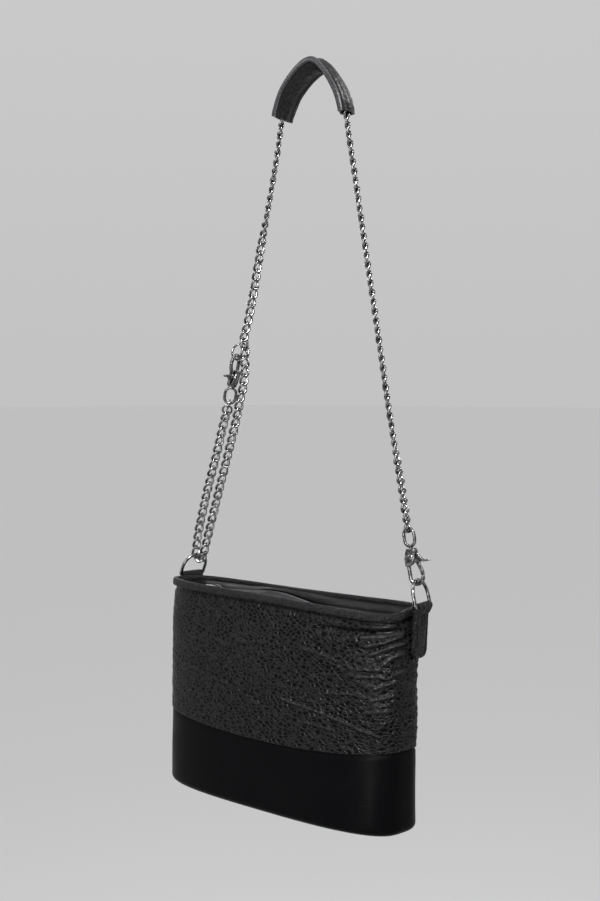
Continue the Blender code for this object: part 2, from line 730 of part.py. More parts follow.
def build_tab(name, layout):
    # Two layers of leather folded over the ring's bar, flat below it, with round lower corners
    radius = RING_WIRE + GAP + TAB_LEATHER
    hole = RING_WIRE + GAP
    seam_y = -radius + 2 * TAB_LEATHER
    section = arc(0.0, 0.0, radius, 180.0, 0.0, 8)
    for row in TAB_LOOP_BACK:
        y = seam_y + row["out"] * (radius - seam_y)
        section.append((y, -row["down"] * TAB_LOOP_CLOSE))
    half = TAB_WIDTH / 2
    flat = half - TAB_CORNER
    stations = [flat + TAB_CORNER * p for p in TAB_CORNER_PLACES]
    rings = []
    for x in [-s for s in reversed(stations)] + stations:
        beyond = max(abs(x) - flat, 0.0)
        rise = TAB_CORNER - math.sqrt(max(TAB_CORNER ** 2 - beyond ** 2, 0.0))
        rise = min(rise, TAB_CORNER_RISE * TAB_CORNER)
        bottom = -TAB_DROP + rise
        ring = section + [(seam_y, bottom), (-radius, bottom)]
        rings.append([(x, y, z) for y, z in ring])
    bore = turned_mesh([(-TAB_WIDTH, hole), (TAB_WIDTH, hole)], (0, 0, 0), (1, 0, 0), 10)
    mesh = combined(skin(rings), [("DIFFERENCE", bore)])
    # The tab's own Y points away from the bag
    across = layout["tab_up"].cross(layout["outward"])
    frame = frame_at(layout["bar"], -across, layout["tab_up"])
    place(name, mesh, "edge_leather", frame)


# Outlines of the snap's plate and of its lever, in X and Z, millimetres from the collar's top
PLATE_OUTLINE = [
    (-4.4, -1.5),
    (4.4, -1.5),
    (4.6, -4.0),
    (3.0, -9.5),
    (0.6, -13.0),
    (-3.0, -15.5),
    (-6.7, -15.5),
    (-6.7, -9.0),
    (-5.2, -4.0),
]
LEVER_OUTLINE = [
    (2.6, -5.4),
    (5.8, -5.0),
    (8.6, -9.0),
    (11.0, -11.6),
    (16.4, -12.2),
    (16.8, -13.7),
    (10.4, -13.5),
    (7.4, -12.6),
    (6.6, -14.6),
    (8.8, -20.8),
    (9.0, -24.5),
    (7.7, -25.2),
    (6.4, -25.75),
    (5.7, -21.6),
    (2.8, -13.5),
]


def lever_reach():
    return max(math.hypot(x * MM - PIVOT_X, z * MM - PIVOT_Z) for x, z in LEVER_OUTLINE)


def snap_body_mesh():
    centre = (0, 0, 0)
    upward = (0, 0, 1)
    plate = plate_mesh([(x * MM, z * MM) for x, z in PLATE_OUTLINE], -CHEEK_HALF, CHEEK_HALF)
    collar_rows = [(-COLLAR_HEIGHT, COLLAR_LOW_RADIUS), (-COLLAR_RIM, COLLAR_TOP_RADIUS)]
    collar_rows += [(0.0, COLLAR_TOP_RADIUS - COLLAR_BEVEL)]
    collar = turned_mesh(collar_rows, centre, upward, 14)
    slot_top = -COLLAR_HEIGHT - COLLAR_FLOOR
    slot_low = (PIVOT_X - BOSS_RADIUS - GAP, -SLOT_HALF, -CUT_REACH)
    slot = box_mesh(slot_low, (CUT_REACH, SLOT_HALF, slot_top))
    bore_radius = POST_RADIUS + GAP
    bore = turned_mesh([(slot_top - MM, bore_radius), (MM, bore_radius)], centre, upward, 12)
    seat_radius = POST_HEAD_RADIUS + GAP
    seat_depth = POST_HEAD_HEIGHT + 2 * GAP
    seat_rows = [(slot_top - seat_depth, seat_radius), (slot_top, seat_radius)]
    seat = turned_mesh(seat_rows, centre, upward, 12)
    half_pin = [
        (CHEEK_HALF + RIVET_HEIGHT, RIVET_CROWN * RIVET_RADIUS),
        (CHEEK_HALF + OVERLAP, RIVET_RADIUS),
        (CHEEK_HALF - OVERLAP, RIVET_RADIUS),
        (CHEEK_HALF - OVERLAP, PIN_RADIUS),
    ]
    pin_rows = [(-along, radius) for along, radius in half_pin] + half_pin[::-1]
    pin = turned_mesh(pin_rows, (PIVOT_X, 0, PIVOT_Z), (0, 1, 0), 12)
    hook_x = HOOK_BACK_X + HOOK_RADIUS
    path = [(HOOK_BACK_X, HOOK_ROOT_Z), (HOOK_BACK_X, 0.5 * (HOOK_ROOT_Z + HOOK_CENTRE_Z))]
    path += arc(hook_x, HOOK_CENTRE_Z, HOOK_RADIUS, 180.0, 360.0, 9)
    path += [(hook_x + HOOK_RADIUS, HOOK_TIP_Z)]
    path = [Vector((x, 0.0, z)) for x, z in path]
    hook = wire_mesh(path, [Vector((0, 1, 0))] * len(path), HOOK_WIRE, 8, False)
    # The hook's tip is cut to the arc that the lever's end sweeps, with its clearance
    sweep = [(PIVOT_X, PIVOT_Z)]
    sweep += arc(PIVOT_X, PIVOT_Z, lever_reach() + GAP, TIP_SWEEP_FROM, TIP_SWEEP_TO, TIP_SWEEP_STEPS)
    hook = combined(hook, [("DIFFERENCE", plate_mesh(sweep, -CHEEK_HALF, CHEEK_HALF))])
    steps = [("UNION", collar), ("DIFFERENCE", slot), ("DIFFERENCE", bore), ("DIFFERENCE", seat)]
    steps += [("UNION", pin), ("UNION", hook)]
    return combined(plate, steps)


# The lever turns on the pin, so its own origin is on the pin's axis
def lever_mesh():
    outline = [(x * MM - PIVOT_X, z * MM - PIVOT_Z) for x, z in LEVER_OUTLINE]
    outline += arc(0.0, 0.0, BOSS_RADIUS, BOSS_FROM, BOSS_TO, BOSS_STEPS)
    plate = plate_mesh(outline, -LEVER_HALF, LEVER_HALF)
    hole_radius = PIN_RADIUS + GAP
    hole_rows = [(-LEVER_HALF - MM, hole_radius), (LEVER_HALF + MM, hole_radius)]
    hole = turned_mesh(hole_rows, (0, 0, 0), (0, 1, 0), 12)
    return combined(plate, [("DIFFERENCE", hole)])


def eye_mesh():
    low = EYE_WIRE + GAP
    lower_centre = low + EYE_HALF_WIDTH
    upper_centre = low + EYE_LENGTH - EYE_HALF_WIDTH
    path = arc(0.0, lower_centre, EYE_HALF_WIDTH, 180.0, 360.0, 7)
    path += arc(0.0, upper_centre, EYE_HALF_WIDTH, 0.0, 180.0, 7)
    path = [Vector((x, 0.0, z)) for x, z in path]
    loop = wire_mesh(path, [Vector((0, 1, 0))] * len(path), EYE_WIRE, 8, True)
    head_top = -COLLAR_HEIGHT - COLLAR_FLOOR - GAP
    rows = [(head_top - POST_HEAD_HEIGHT, POST_HEAD_RADIUS), (head_top, POST_HEAD_RADIUS)]
    rows += [(head_top, POST_RADIUS), (low, POST_RADIUS)]
    post = turned_mesh(rows, (0, 0, 0), (0, 0, 1), 12)
    return combined(loop, [("UNION", post)])


# The eye turns freely in the collar: eye_turn is how it happens to stand about the snap's axis
def build_snap(side, frame, eye_turn):
    place("clasp_" + side, snap_body_mesh(), "nickel", frame)
    pivot = Matrix.Translation((PIVOT_X, 0.0, PIVOT_Z))
    place("lever_" + side, lever_mesh(), "nickel", frame @ pivot)
    place("swivel_eye_" + side, eye_mesh(), "nickel", frame @ Matrix.Rotation(eye_turn, 4, "Z"))


# A curb link: a long round ended loop, twisted about its length, which lies along local X
def link_mesh(twist):
    radius = LINK_WIDTH / 2
    straight = (LINK_LENGTH - LINK_WIDTH) / 2
    flat = arc(straight, 0.0, radius, -90.0, 90.0, 6) + arc(-straight, 0.0, radius, 90.0, 270.0, 6)
    path = []
    references = []
    for x, y in flat:
        turn = twist * x / LINK_LENGTH
        path.append(Vector((x, y * math.cos(turn), y * math.sin(turn))))
        references.append(Vector((0.0, -math.sin(turn), math.cos(turn))))
    return wire_mesh(path, references, LINK_WIRE, 6, True)


# A link at a point, with its length along a direction and its width across it
def build_link(name, centre, along, width, twist):
    along = Vector(along).normalized()
    width = Vector(width)
    width = (width - along * width.dot(along)).normalized()
    matrix = Matrix((along, width, along.cross(width))).transposed().to_4x4()
    matrix.translation = Vector(centre)
    place(name, link_mesh(twist), "nickel", matrix)


def build_ring(name, centre, first, second, radius, wire, steps):
    path = []
    for i in range(steps):
        angle = 2 * math.pi * i / steps
        spoke = Vector(first) * math.cos(angle) + Vector(second) * math.sin(angle)
        path.append(spoke * radius)
    normal = Vector(first).cross(Vector(second))
    mesh = wire_mesh(path, [normal] * steps, wire, 8, True)
    place(name, mesh, "nickel", Matrix.Translation(Vector(centre)))


# A smooth curve through chosen points, as many close points with the knot that each one follows
def fine_curve(knots):
    knots = [np.array(k, float) for k in knots]
    knots = [2 * knots[0] - knots[1]] + knots + [2 * knots[-1] - knots[-2]]
    fine = []
    for a, b, c, d in zip(knots, knots[1:], knots[2:], knots[3:]):
        for t in np.linspace(0.0, 1.0, FINE_STEPS, endpoint=False):
            fine.append(0.5 * (2 * b + (c - a) * t + (2 * a - 5 * b + 4 * c - d) * t ** 2
                               + (3 * b - a - 3 * c + d) * t ** 3))
    fine.append(knots[-2])
    return np.array(fine)


def even_points(fine, spacing):
    length = np.concatenate(([0.0], np.cumsum(np.linalg.norm(np.diff(fine, axis=0), axis=1))))
    count = max(int(round(length[-1] / spacing)), 2)
    wanted = np.linspace(0.0, length[-1], count + 1)
    return [Vector([np.interp(w, length, fine[:, k]) for k in range(3)]) for w in wanted]


def smooth_route(knots, spacing):
    return even_points(fine_curve(knots), spacing)


# The upper run and the pad share one curve, with closer points inside the pad
def routes_through(before, inside, after):
    fine = fine_curve(before + inside + after)
    first = len(before) * FINE_STEPS
    last = (len(before) + len(inside) - 1) * FINE_STEPS
    pad_line = even_points(fine[first:last + 1], PAD_STEP)
    start = even_points(fine[:first + 1], ROUTE_STEP)
    end = even_points(fine[last:], ROUTE_STEP)
    return start[:-1] + pad_line + end[1:], pad_line


def build_tube(name, route):
    curve = bpy.data.curves.new(name, "CURVE")
    curve.dimensions = "3D"
    curve.bevel_depth = CHAIN_RADIUS
    curve.bevel_resolution = 2
    curve.use_fill_caps = True
    spline = curve.splines.new("POLY")
    spline.points.add(len(route) - 1)
    for point, place_at in zip(spline.points, route):
        point.co = (*place_at, 1.0)
    tube = bpy.data.objects.new(name, curve)
    bpy.context.scene.collection.objects.link(tube)
    colour, roughness, metallic = FINISHES["nickel"]
    curve.materials.append(make_material(name, colour, roughness, metallic))
    tube.parent = bpy.data.objects["hang_frame"]


def in_strap_plane(point):
    return Vector((point[0], 0.0, point[1]))


def link_end_gap():
    return LINK_LENGTH / 2 + LINK_WIRE + GAP


# A quarter of the pad's section: shares of its half width and half thickness. It is thin at
# the edges, and full over the chain.
PAD_QUARTER = [
    {"across": 1.0, "rise": 0.22},
    {"across": 0.94, "rise": 0.48},
    {"across": 0.58, "rise": 0.56},
    {"across": 0.20, "rise": 1.0},
]


def pad_section():
    quarter = [(row["across"] * PAD_HALF_WIDTH, row["rise"] * PAD_HALF_THICK) for row in PAD_QUARTER]
    half = quarter + [(-across, rise) for across, rise in reversed(quarter)]
    return half + [(-across, -rise) for across, rise in half]


# The pad: a flat sleeve along the chain, open at both ends, a little turned at its right end
# and rolled to the back at its left
def build_pad(line):
    section = pad_section()
    channel = (CHAIN_RADIUS + GAP) / math.cos(math.pi / len(section))
    outer_rings = []
    inner_rings = []
    for i, centre in enumerate(line):
        share = i / (len(line) - 1)
        turn = PAD_TURN * (1 - smooth_step(share, *PAD_TURN_FADE))
        roll = PAD_ROLL * smooth_step(share, *PAD_ROLL_GROW)
        roll += PAD_CROWN_ROLL * math.sin(math.pi * share) ** 2
        narrowing = 1 - PAD_END_NARROWING * abs(2 * share - 1) ** 3
        along = (line[min(i + 1, len(line) - 1)] - line[max(i - 1, 0)]).normalized()
        width = Vector((-math.sin(turn), math.cos(turn), roll)).normalized()
        up = along.cross(width).normalized()
        outer = [centre + width * narrowing * across + up * rise for across, rise in section]
        outer_rings.append(outer)
        inner = []
        for j in range(len(section)):
            angle = 2 * math.pi * (j + 0.5) / len(section)
            spoke = up * math.sin(angle) - along.cross(up) * math.cos(angle)
            inner.append(centre + channel * spoke)
        inner_rings.append(inner)
    rings = outer_rings + inner_rings[::-1]
    place("shoulder_pad", skin(rings, joined=True), "pebbled_leather", smooth_degrees=50.0)


def build_right_end(layout):
    build_d_ring("d_ring_right", layout)
    build_tab("tab_right", layout)
    axis = Vector((-math.sin(LEAN_RIGHT_SNAP), 0.0, math.cos(LEAN_RIGHT_SNAP)))
    hook_x = HOOK_BACK_X + HOOK_RADIUS
    grip = Vector((hook_x, 0.0, HOOK_CENTRE_Z - HOOK_RADIUS + HOOK_WIRE + GAP + RING_WIRE))
    frame = frame_at((0, 0, 0), layout["outward"], axis)
    frame.translation = layout["top"] - frame.to_3x3() @ grip
    build_snap("right", frame, EYE_TURN_RIGHT)
    eye_top = frame @ Vector((0.0, 0.0, EYE_WIRE + GAP + EYE_LENGTH))
    first = Vector((RIGHT_STRAND[0][0], 0.0, RIGHT_STRAND[0][1]))
    along = (first - eye_top).normalized()
    link_centre = eye_top + along * (LINK_LENGTH / 2 - LINK_WIRE - EYE_WIRE - GAP)
    build_link("end_link_right", link_centre, along, flat_direction(LINK_TURN_RIGHT), LINK_TWIST)
    return link_centre + along * link_end_gap()


def build_anchor_ring():
    across = flat_direction(ANCHOR_RING_TURN)
    away = flat_direction(ANCHOR_RING_TURN + math.pi / 2)
    rising = away * math.sin(ANCHOR_RING_TILT) + Vector((0, 0, math.cos(ANCHOR_RING_TILT)))
    link_at = across * math.cos(ANCHOR_LINK_AT) + rising * math.sin(ANCHOR_LINK_AT)
    centre = in_strap_plane(ANCHOR_LINK_POINT) - link_at * ANCHOR_RING_RADIUS
    build_ring("anchor_ring", centre, across, rising, ANCHOR_RING_RADIUS, ANCHOR_RING_WIRE, 18)
    hook_at = across * math.cos(ANCHOR_HOOK_AT) + rising * math.sin(ANCHOR_HOOK_AT)
    tangent = rising * math.cos(ANCHOR_HOOK_AT) - across * math.sin(ANCHOR_HOOK_AT)
    return centre + hook_at * ANCHOR_RING_RADIUS, tangent


# The left snap hangs upside down on the anchor ring, and its eye leads to the chain's short end
def build_left_snap(grip_point, tangent, axis):
    hook_x = HOOK_BACK_X + HOOK_RADIUS
    seat = HOOK_WIRE + ANCHOR_SEAT_GAP + ANCHOR_RING_WIRE
    grip = Vector((hook_x, 0.0, HOOK_CENTRE_Z - HOOK_RADIUS + seat))
    gate_side = axis.cross(tangent)
    if gate_side.y > 0:
        gate_side = -gate_side
    frame = frame_at((0, 0, 0), gate_side, axis)
    frame.translation = grip_point - frame.to_3x3() @ grip
    build_snap("left", frame, EYE_TURN_LEFT)
    return frame


def main():
    clear_scene()
    hang_frame = bpy.data.objects.new("hang_frame", None)
    bpy.context.scene.collection.objects.link(hang_frame)
    hang_frame.location = (-HANG_X, 0.0, -HANG_Z)

    build_upper()
    build_lower()
    build_binding()
    build_strip("zip_strip_front", -1.0)
    build_strip("zip_strip_back", 1.0)
    build_tape()
    build_slider_and_puller()

    left = end_layout(-1.0, TAB_TURN_LEFT, RING_BAR_HEIGHT_LEFT, RING_LEAN_LEFT)
    right = end_layout(1.0, TAB_TURN_RIGHT, RING_BAR_HEIGHT_RIGHT, RING_LEAN_RIGHT)
    build_d_ring("d_ring_left", left)
    build_tab("tab_left", left)
    chain_start = build_right_end(right)

    anchor = in_strap_plane(ANCHOR_LINK_POINT)
    upright = Vector((0, 0, 1))
    left_side = flat_direction(LINK_TURN_LEFT)
    build_link("anchor_link", anchor, upright, left_side, 0.0)
    grip_point, tangent = build_anchor_ring()

    # The rings hang in line between the left snap's eye and the chain's short end
    end_link = in_strap_plane(END_LINK_LEFT_POINT)
    axis = (Vector(LEFT_SNAP_POINT) - grip_point).normalized()
    frame = build_left_snap(grip_point, tangent, axis)
    eye_end = frame @ Vector((0.0, 0.0, EYE_WIRE + GAP + EYE_LENGTH))
    hanging = (end_link - eye_end).normalized()
    first_centre = eye_end + hanging * (JUMP_RING_RADIUS - EYE_WIRE - JUMP_RING_WIRE - RING_SEAT_GAP)
    ring_step = 2 * JUMP_RING_RADIUS - 2 * JUMP_RING_WIRE - RING_SEAT_GAP
    second_centre = first_centre + hanging * ring_step
    side = hanging.cross(Vector((0, 1, 0))).normalized()
    cross_side = hanging.cross(side).normalized()
    turned = (side + cross_side).normalized()
    build_ring("jump_ring_upper", first_centre, hanging, turned, JUMP_RING_RADIUS, JUMP_RING_WIRE, 12)
    turned = (side - cross_side).normalized()
    build_ring("jump_ring_lower", second_centre, hanging, turned, JUMP_RING_RADIUS, JUMP_RING_WIRE, 12)
    link_step = JUMP_RING_RADIUS + LINK_LENGTH / 2 - JUMP_RING_WIRE - LINK_WIRE - RING_SEAT_GAP
    last_centre = second_centre + hanging * link_step
    build_link("end_link_left", last_centre, -hanging, left_side, LINK_TWIST)
    short_end = last_centre + hanging * link_end_gap()

    tube_up = anchor + upright * link_end_gap()
    tube_down = anchor - upright * link_end_gap()
    right_knots = [chain_start] + [in_strap_plane(p) for p in RIGHT_STRAND]
    left_knots = [in_strap_plane(p) for p in LEFT_STRAND] + [tube_up]
    pad_knots = [in_strap_plane(p) for p in PAD_LINE]
    upper, pad_line = routes_through(right_knots, pad_knots, left_knots)
    build_tube("chain_upper", upper)
    build_pad(pad_line)

    # The lower run turns round under the left ring's top wire
    turn_drop = RING_WIRE + GAP + CHAIN_RADIUS
    side_drop = RING_HALF_WIDTH - math.sqrt(RING_HALF_WIDTH ** 2 - LOOP_TURN_BACK ** 2)
    beside = left["across"] * (LOOP_TURN_BACK / left["across"].y)
    on_ring = left["top"] + beside - left["ring_up"] * side_drop
    turn_centre = on_ring + upright * (LOOP_TURN_RADIUS - turn_drop)
    turn = []
    for i in range(LOOP_TURN_STEPS + 1):
        angle = LOOP_TURN_FROM + (LOOP_TURN_TO - LOOP_TURN_FROM) * i / LOOP_TURN_STEPS
        turn.append(turn_centre + LOOP_TURN_RADIUS * Vector((math.cos(angle), 0.0, math.sin(angle))))
    main_knots = [tube_down] + [Vector(p) for p in MAIN_STRAND] + [turn[0]]
    return_knots = [turn[-1]] + [Vector(p) for p in RETURN_STRAND] + [short_end]
    lower = smooth_route(main_knots, ROUTE_STEP) + turn[1:-1] + smooth_route(return_knots, ROUTE_STEP)
    build_tube("chain_lower", lower)


ANGLES = plan_directions()
main()
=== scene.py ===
import math
import bpy
import numpy as np
from mathutils import Matrix, Vector, noise


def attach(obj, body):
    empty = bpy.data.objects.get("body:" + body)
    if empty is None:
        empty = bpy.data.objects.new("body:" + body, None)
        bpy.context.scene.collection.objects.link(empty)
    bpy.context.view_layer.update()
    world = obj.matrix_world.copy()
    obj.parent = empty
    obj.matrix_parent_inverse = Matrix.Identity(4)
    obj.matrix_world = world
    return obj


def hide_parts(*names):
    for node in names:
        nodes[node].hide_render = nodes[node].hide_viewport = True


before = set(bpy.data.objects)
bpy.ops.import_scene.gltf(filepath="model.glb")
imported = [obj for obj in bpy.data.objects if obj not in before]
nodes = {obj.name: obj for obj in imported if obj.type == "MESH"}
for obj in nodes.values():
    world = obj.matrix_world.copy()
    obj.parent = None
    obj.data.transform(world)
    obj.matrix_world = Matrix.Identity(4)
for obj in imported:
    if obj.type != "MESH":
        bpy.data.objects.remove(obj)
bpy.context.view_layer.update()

mm = 0.001
mergeDistance = 0.01 * mm
softAngle, roundAngle = 60.0, 180.0  # faces that meet at a smaller angle are shaded as one
print("frame loaded:", len(nodes), "solids")


def deselectAll():
    for item in bpy.context.selected_objects:
        item.select_set(False)


def makeActive(piece):
    deselectAll()
    piece.select_set(True)
    bpy.context.view_layer.objects.active = piece


def editMesh(piece, operator, **settings):  # runs an operator on the whole mesh
    makeActive(piece)
    bpy.ops.object.mode_set(mode="EDIT")
    bpy.ops.mesh.select_all(action="SELECT")
    operator(**settings)
    bpy.ops.object.mode_set(mode="OBJECT")


def faceOutwards(piece):
    editMesh(piece, bpy.ops.mesh.normals_make_consistent, inside=False)


def applyModifier(piece, kind, **settings):
    makeActive(piece)
    modifier = piece.modifiers.new(kind.title(), kind)
    for name, value in settings.items():
        setattr(modifier, name, value)
    bpy.ops.object.modifier_apply(modifier=modifier.name)


def giveWall(piece, thickness, edge=0.0):  # mm, inwards from the outer face
    applyModifier(piece, "SOLIDIFY", thickness=thickness * mm, offset=-1.0)
    if edge:
        applyModifier(piece, "BEVEL", width=edge * mm, segments=2, limit_method="ANGLE",
                      angle_limit=math.radians(softAngle))


def vertexArray(piece):
    flat = np.empty(len(piece.data.vertices) * 3, np.float32)
    piece.data.vertices.foreach_get("co", flat)
    return flat.reshape(-1, 3).astype(float)


def setVertices(piece, places):
    piece.data.vertices.foreach_set("co", np.asarray(places, np.float32).ravel())
    piece.data.update()


def smoothStep(value, low, high):
    share = np.clip((np.asarray(value, float) - low) / (high - low), 0.0, 1.0)
    return share * share * (3 - 2 * share)


def blend(low, high, share):
    return low + (high - low) * share


def noisePoints(sizes, place, shift=(0.0, 0.0, 0.0)):
    scaled = [axis / size + move for axis, size, move in zip(place, sizes, shift)]
    return [Vector(point) for point in zip(*np.broadcast_arrays(*scaled))]


def noiseAt(sizes, *place, shift=(0.0, 0.0, 0.0)):  # from -1 to 1 at each place, in waves of these sizes
    return np.array([noise.noise(point) for point in noisePoints(sizes, place, shift)])


def ridgedAt(power, sizes, *place, shift=(0.0, 0.0, 0.0)):  # thin crests, 1 high, where that noise is 0
    return (1 - np.abs(noiseAt(sizes, *place, shift=shift))) ** power


def bell(distance, width):
    return np.exp(-(distance / width) ** 2)


def unit(rows):
    return rows / np.linalg.norm(rows, axis=1)[:, None]


def rowsAt(table, share):  # the columns of a table, with each point's own row
    return table[np.rint(share * (len(table) - 1)).astype(int)].T


def gridPiece(name, columns, rows, placeAt, closed=False):  # placeAt turns shares from 0 to 1 into mm
    deselectAll()
    bpy.ops.mesh.primitive_grid_add(x_subdivisions=columns, y_subdivisions=rows, size=2.0)
    piece = bpy.context.object
    piece.name = name
    flat = vertexArray(piece)
    setVertices(piece, np.stack(placeAt((flat[:, 0] + 1) / 2, (flat[:, 1] + 1) / 2), axis=1) * mm)
    editMesh(piece, bpy.ops.mesh.remove_doubles, threshold=mergeDistance)
    if closed:
        faceOutwards(piece)
    return piece


def copyPiece(pattern):
    piece = pattern.copy()
    piece.data = pattern.data.copy()
    bpy.context.collection.objects.link(piece)
    return piece


def joinAll(name, pieces):
    makeActive(pieces[0])
    for piece in pieces:
        piece.select_set(True)
    bpy.ops.object.join()
    bpy.context.object.name = name
    return bpy.context.object


def finishPiece(piece, material, body, replaces, smooth):
    makeActive(piece)
    bpy.ops.object.shade_smooth_by_angle(angle=math.radians(smooth))
    piece.data.materials.clear()
    piece.data.materials.append(material)
    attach(piece, body)
    if replaces:
        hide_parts(*replaces)


def dressNode(piece, material, node, smooth=softAngle, body="bag"):  # the piece is one solid's look
    finishPiece(piece, material, body, [node], smooth)


# Materials

def linearColour(hexCode):
    parts = [int(hexCode[i:i + 2], 16) / 255 for i in (1, 3, 5)]
    return tuple(c / 12.92 if c <= 0.04045 else ((c + 0.055) / 1.055) ** 2.4 for c in parts) + (1.0,)


def grey(value):
    return (value, value, value, 1.0)


def addNode(tree, kind, settings={}, values={}, links={}, stops=(), feeds=None):
    node = tree.nodes.new("ShaderNode" + kind)
    for name, value in settings.items():
        setattr(node, name, value)
    for name, value in values.items():
        node.inputs[name].default_value = value
    for name, source in links.items():
        tree.links.new(source, node.inputs[name])
    for i, (place, colour) in enumerate(stops):  # a colour ramp comes with two
        element = node.color_ramp.elements[i] if i < 2 else node.color_ramp.elements.new(place)
        element.position, element.color = place, colour
    if feeds:  # another node's input, which takes this one's first output
        tree.links.new(node.outputs[0], feeds)
    return node


def newMaterial(name, **values):
    material = bpy.data.materials.new(name)
    material.use_nodes = True
    shader = material.node_tree.nodes["Principled BSDF"]
    for socket, value in values.items():
        shader.inputs[socket.replace("_", " ")].default_value = value
    return material, material.node_tree, shader


plainLeather = {  # what a leather has where its own look says nothing else, with sizes in mm
    "ior": 1.5, "roughness": 0.34, "lean": 0.0, "stretch": (1.0, 1.0, 1.0), "swell": 0.24, "pore": 0.8,
    "driftWidth": 1.3, "drift": 0.4,  # how the net of cells wanders, in cells
    "ridge": ((0.0, 1.0), (0.05, 0.9), (0.14, 0.4), (0.26, 0.0)), "faceFrom": 0.7,
    "fold": (22.0, 14.0, 5.5), "foldDepth": 1.0, "poreDepth": 0.12,
    "patch": 30.0, "patchDetail": 3.0, "patternRange": (0.3, 0.7), "shineSteps": (-0.07, 0.07),
}


def leatherMaterial(name, **own):
    # Drum dyed black leather: a net of ridges round small hollows, with painted shade in the hollows and
    # painted light on the ridges, and a waxed, uneven shine
    look = {**plainLeather, **own}
    material, tree, shader = newMaterial(name, Roughness=look["roughness"], IOR=look["ior"],
                                         Specular_IOR_Level=look["shine"])
    lean = (0.0, math.radians(look["lean"]), 0.0)
    place = addNode(tree, "TexCoord").outputs["Object"]
    leaning = addNode(tree, "Mapping", values={"Rotation": lean, "Scale": look["stretch"]},
                      links={"Vector": place}).outputs["Vector"]
    drift = addNode(tree, "TexNoise", values={"Scale": 1 / (look["cell"] * look["driftWidth"] * mm)},
                    links={"Vector": leaning})
    shifted = addNode(tree, "VectorMath", {"operation": "MULTIPLY_ADD"},
                      {1: (look["drift"] * look["cell"] * mm,) * 3},
                      {0: drift.outputs["Color"], 2: leaning}).outputs["Vector"]
    cells = addNode(tree, "TexVoronoi", {"feature": "DISTANCE_TO_EDGE"},
                    {"Scale": 1 / (look["cell"] * mm)}, {"Vector": shifted})
    domes = addNode(tree, "ValToRGB", links={"Fac": cells.outputs["Distance"]},
                    stops=[(at, grey(height)) for at, height in look["ridge"]]).outputs["Color"]
    pores = addNode(tree, "TexVoronoi", values={"Scale": 1 / (look["pore"] * mm)}, links={"Vector": shifted})
    folds = addNode(tree, "Mapping", links={"Vector": place},
                    values={"Rotation": lean, "Scale": [1 / size for size in look["fold"]]})
    lines = addNode(tree, "TexNoise", {"noise_type": "RIDGED_MULTIFRACTAL"}, {"Scale": 1 / mm},
                    {"Vector": folds.outputs["Vector"]})
    first = addNode(tree, "Bump", links={"Height": lines.outputs["Fac"]},
                    values={"Strength": look["foldStrength"], "Distance": look["foldDepth"] * mm})
    second = addNode(tree, "Bump",
                     values={"Strength": look["cellStrength"], "Distance": look["cell"] * look["swell"] * mm},
                     links={"Height": domes, "Normal": first.outputs["Normal"]})
    if "mask" in look:  # a vertex attribute that says how much grain shows
        mask = addNode(tree, "Attribute", {"attribute_name": look["mask"]})
        addNode(tree, "Math", {"operation": "MULTIPLY"}, {1: look["cellStrength"]}, {0: mask.outputs["Fac"]},
                feeds=second.inputs["Strength"])
    addNode(tree, "Bump", values={"Strength": look["poreStrength"], "Distance": look["poreDepth"] * mm},
            links={"Height": pores.outputs["Distance"], "Normal": second.outputs["Normal"]},
            feeds=shader.inputs["Normal"])
    # Painted shade and light: the grain's hollows take the dark crease colour and its ridges the lighter face
    # colour
    tones = ((0.0, linearColour(look["crease"])), (look["faceFrom"], linearColour(look["face"])))
    tone = addNode(tree, "ValToRGB", links={"Fac": domes}, stops=tones, feeds=shader.inputs["Base Color"])
    if "crest" in look:  # a vertex attribute that says where the long wrinkles' crests get a painted highlight, a paler colour
        crest = addNode(tree, "Attribute", {"attribute_name": look["crest"]})
        rubbed = addNode(tree, "Mix", {"data_type": "RGBA"}, {7: linearColour(look["rubbed"])},
                         {0: crest.outputs["Fac"], 6: tone.outputs["Color"]})
        tree.links.new(rubbed.outputs[2], shader.inputs["Base Color"])
    patches = addNode(tree, "TexNoise", links={"Vector": place},
                      values={"Scale": 1 / (look["patch"] * mm), "Detail": look["patchDetail"]})
    least, most = look["patternRange"]
    low, high = (look["roughness"] + step for step in look["shineSteps"])
    addNode(tree, "MapRange", values={"From Min": least, "From Max": most, "To Min": low, "To Max": high},
            links={"Value": patches.outputs["Fac"]}, feeds=shader.inputs["Roughness"])
    return material


# Deep grain with a painted highlight on the long wrinkles' crests: broken highlights round black hollows of
# painted shade, drawn coarser than it is to show
pebbledLeather = leatherMaterial(
    "shrunken calf leather, waxed", roughness=0.29, shine=0.08, lean=22.0, stretch=(0.55, 0.65, 1.0),
    cell=3.2, swell=0.28, pore=1.2, cellStrength=1.0, poreStrength=0.15, foldStrength=0.5,
    crease="#010101", face="#161617", mask="grainShown", crest="crestHighlightShown", rubbed="#242425")
# Polished and closed: flat black with one long soft highlight
smoothLeather = leatherMaterial(
    "smooth box calf leather, polished", shine=0.04, cell=1.6, pore=0.7, cellStrength=0.06,
    poreStrength=0.06, foldStrength=0.04, crease="#030304", face="#050506")
# Grain pulled round a roll: a row of small glints along the rim
bindingLeather = leatherMaterial(
    "fine grained leather, rolled", shine=0.10, cell=2.2, cellStrength=1.0, poreStrength=0.5,
    foldStrength=0.4, crease="#020203", face="#1a1a1b")
# Glazed but shaded by the rim: dark, with hardly a highlight
facingLeather = leatherMaterial(
    "smooth leather facing, glazed", roughness=0.45, shine=0.03, cell=1.8, cellStrength=0.35,
    poreStrength=0.2, foldStrength=0.3, crease="#040405", face="#070708")
# Squeezed round the chain: folds and creases under a soft sheen
padLeather = leatherMaterial(
    "shrunken calf leather, creased", roughness=0.38, shine=0.22, lean=60.0, stretch=(1.0, 0.8, 0.6),
    cell=3.4, swell=0.20, pore=0.9, cellStrength=0.12, poreStrength=0.1, foldStrength=0.7,
    crease="#080808", face="#121213")
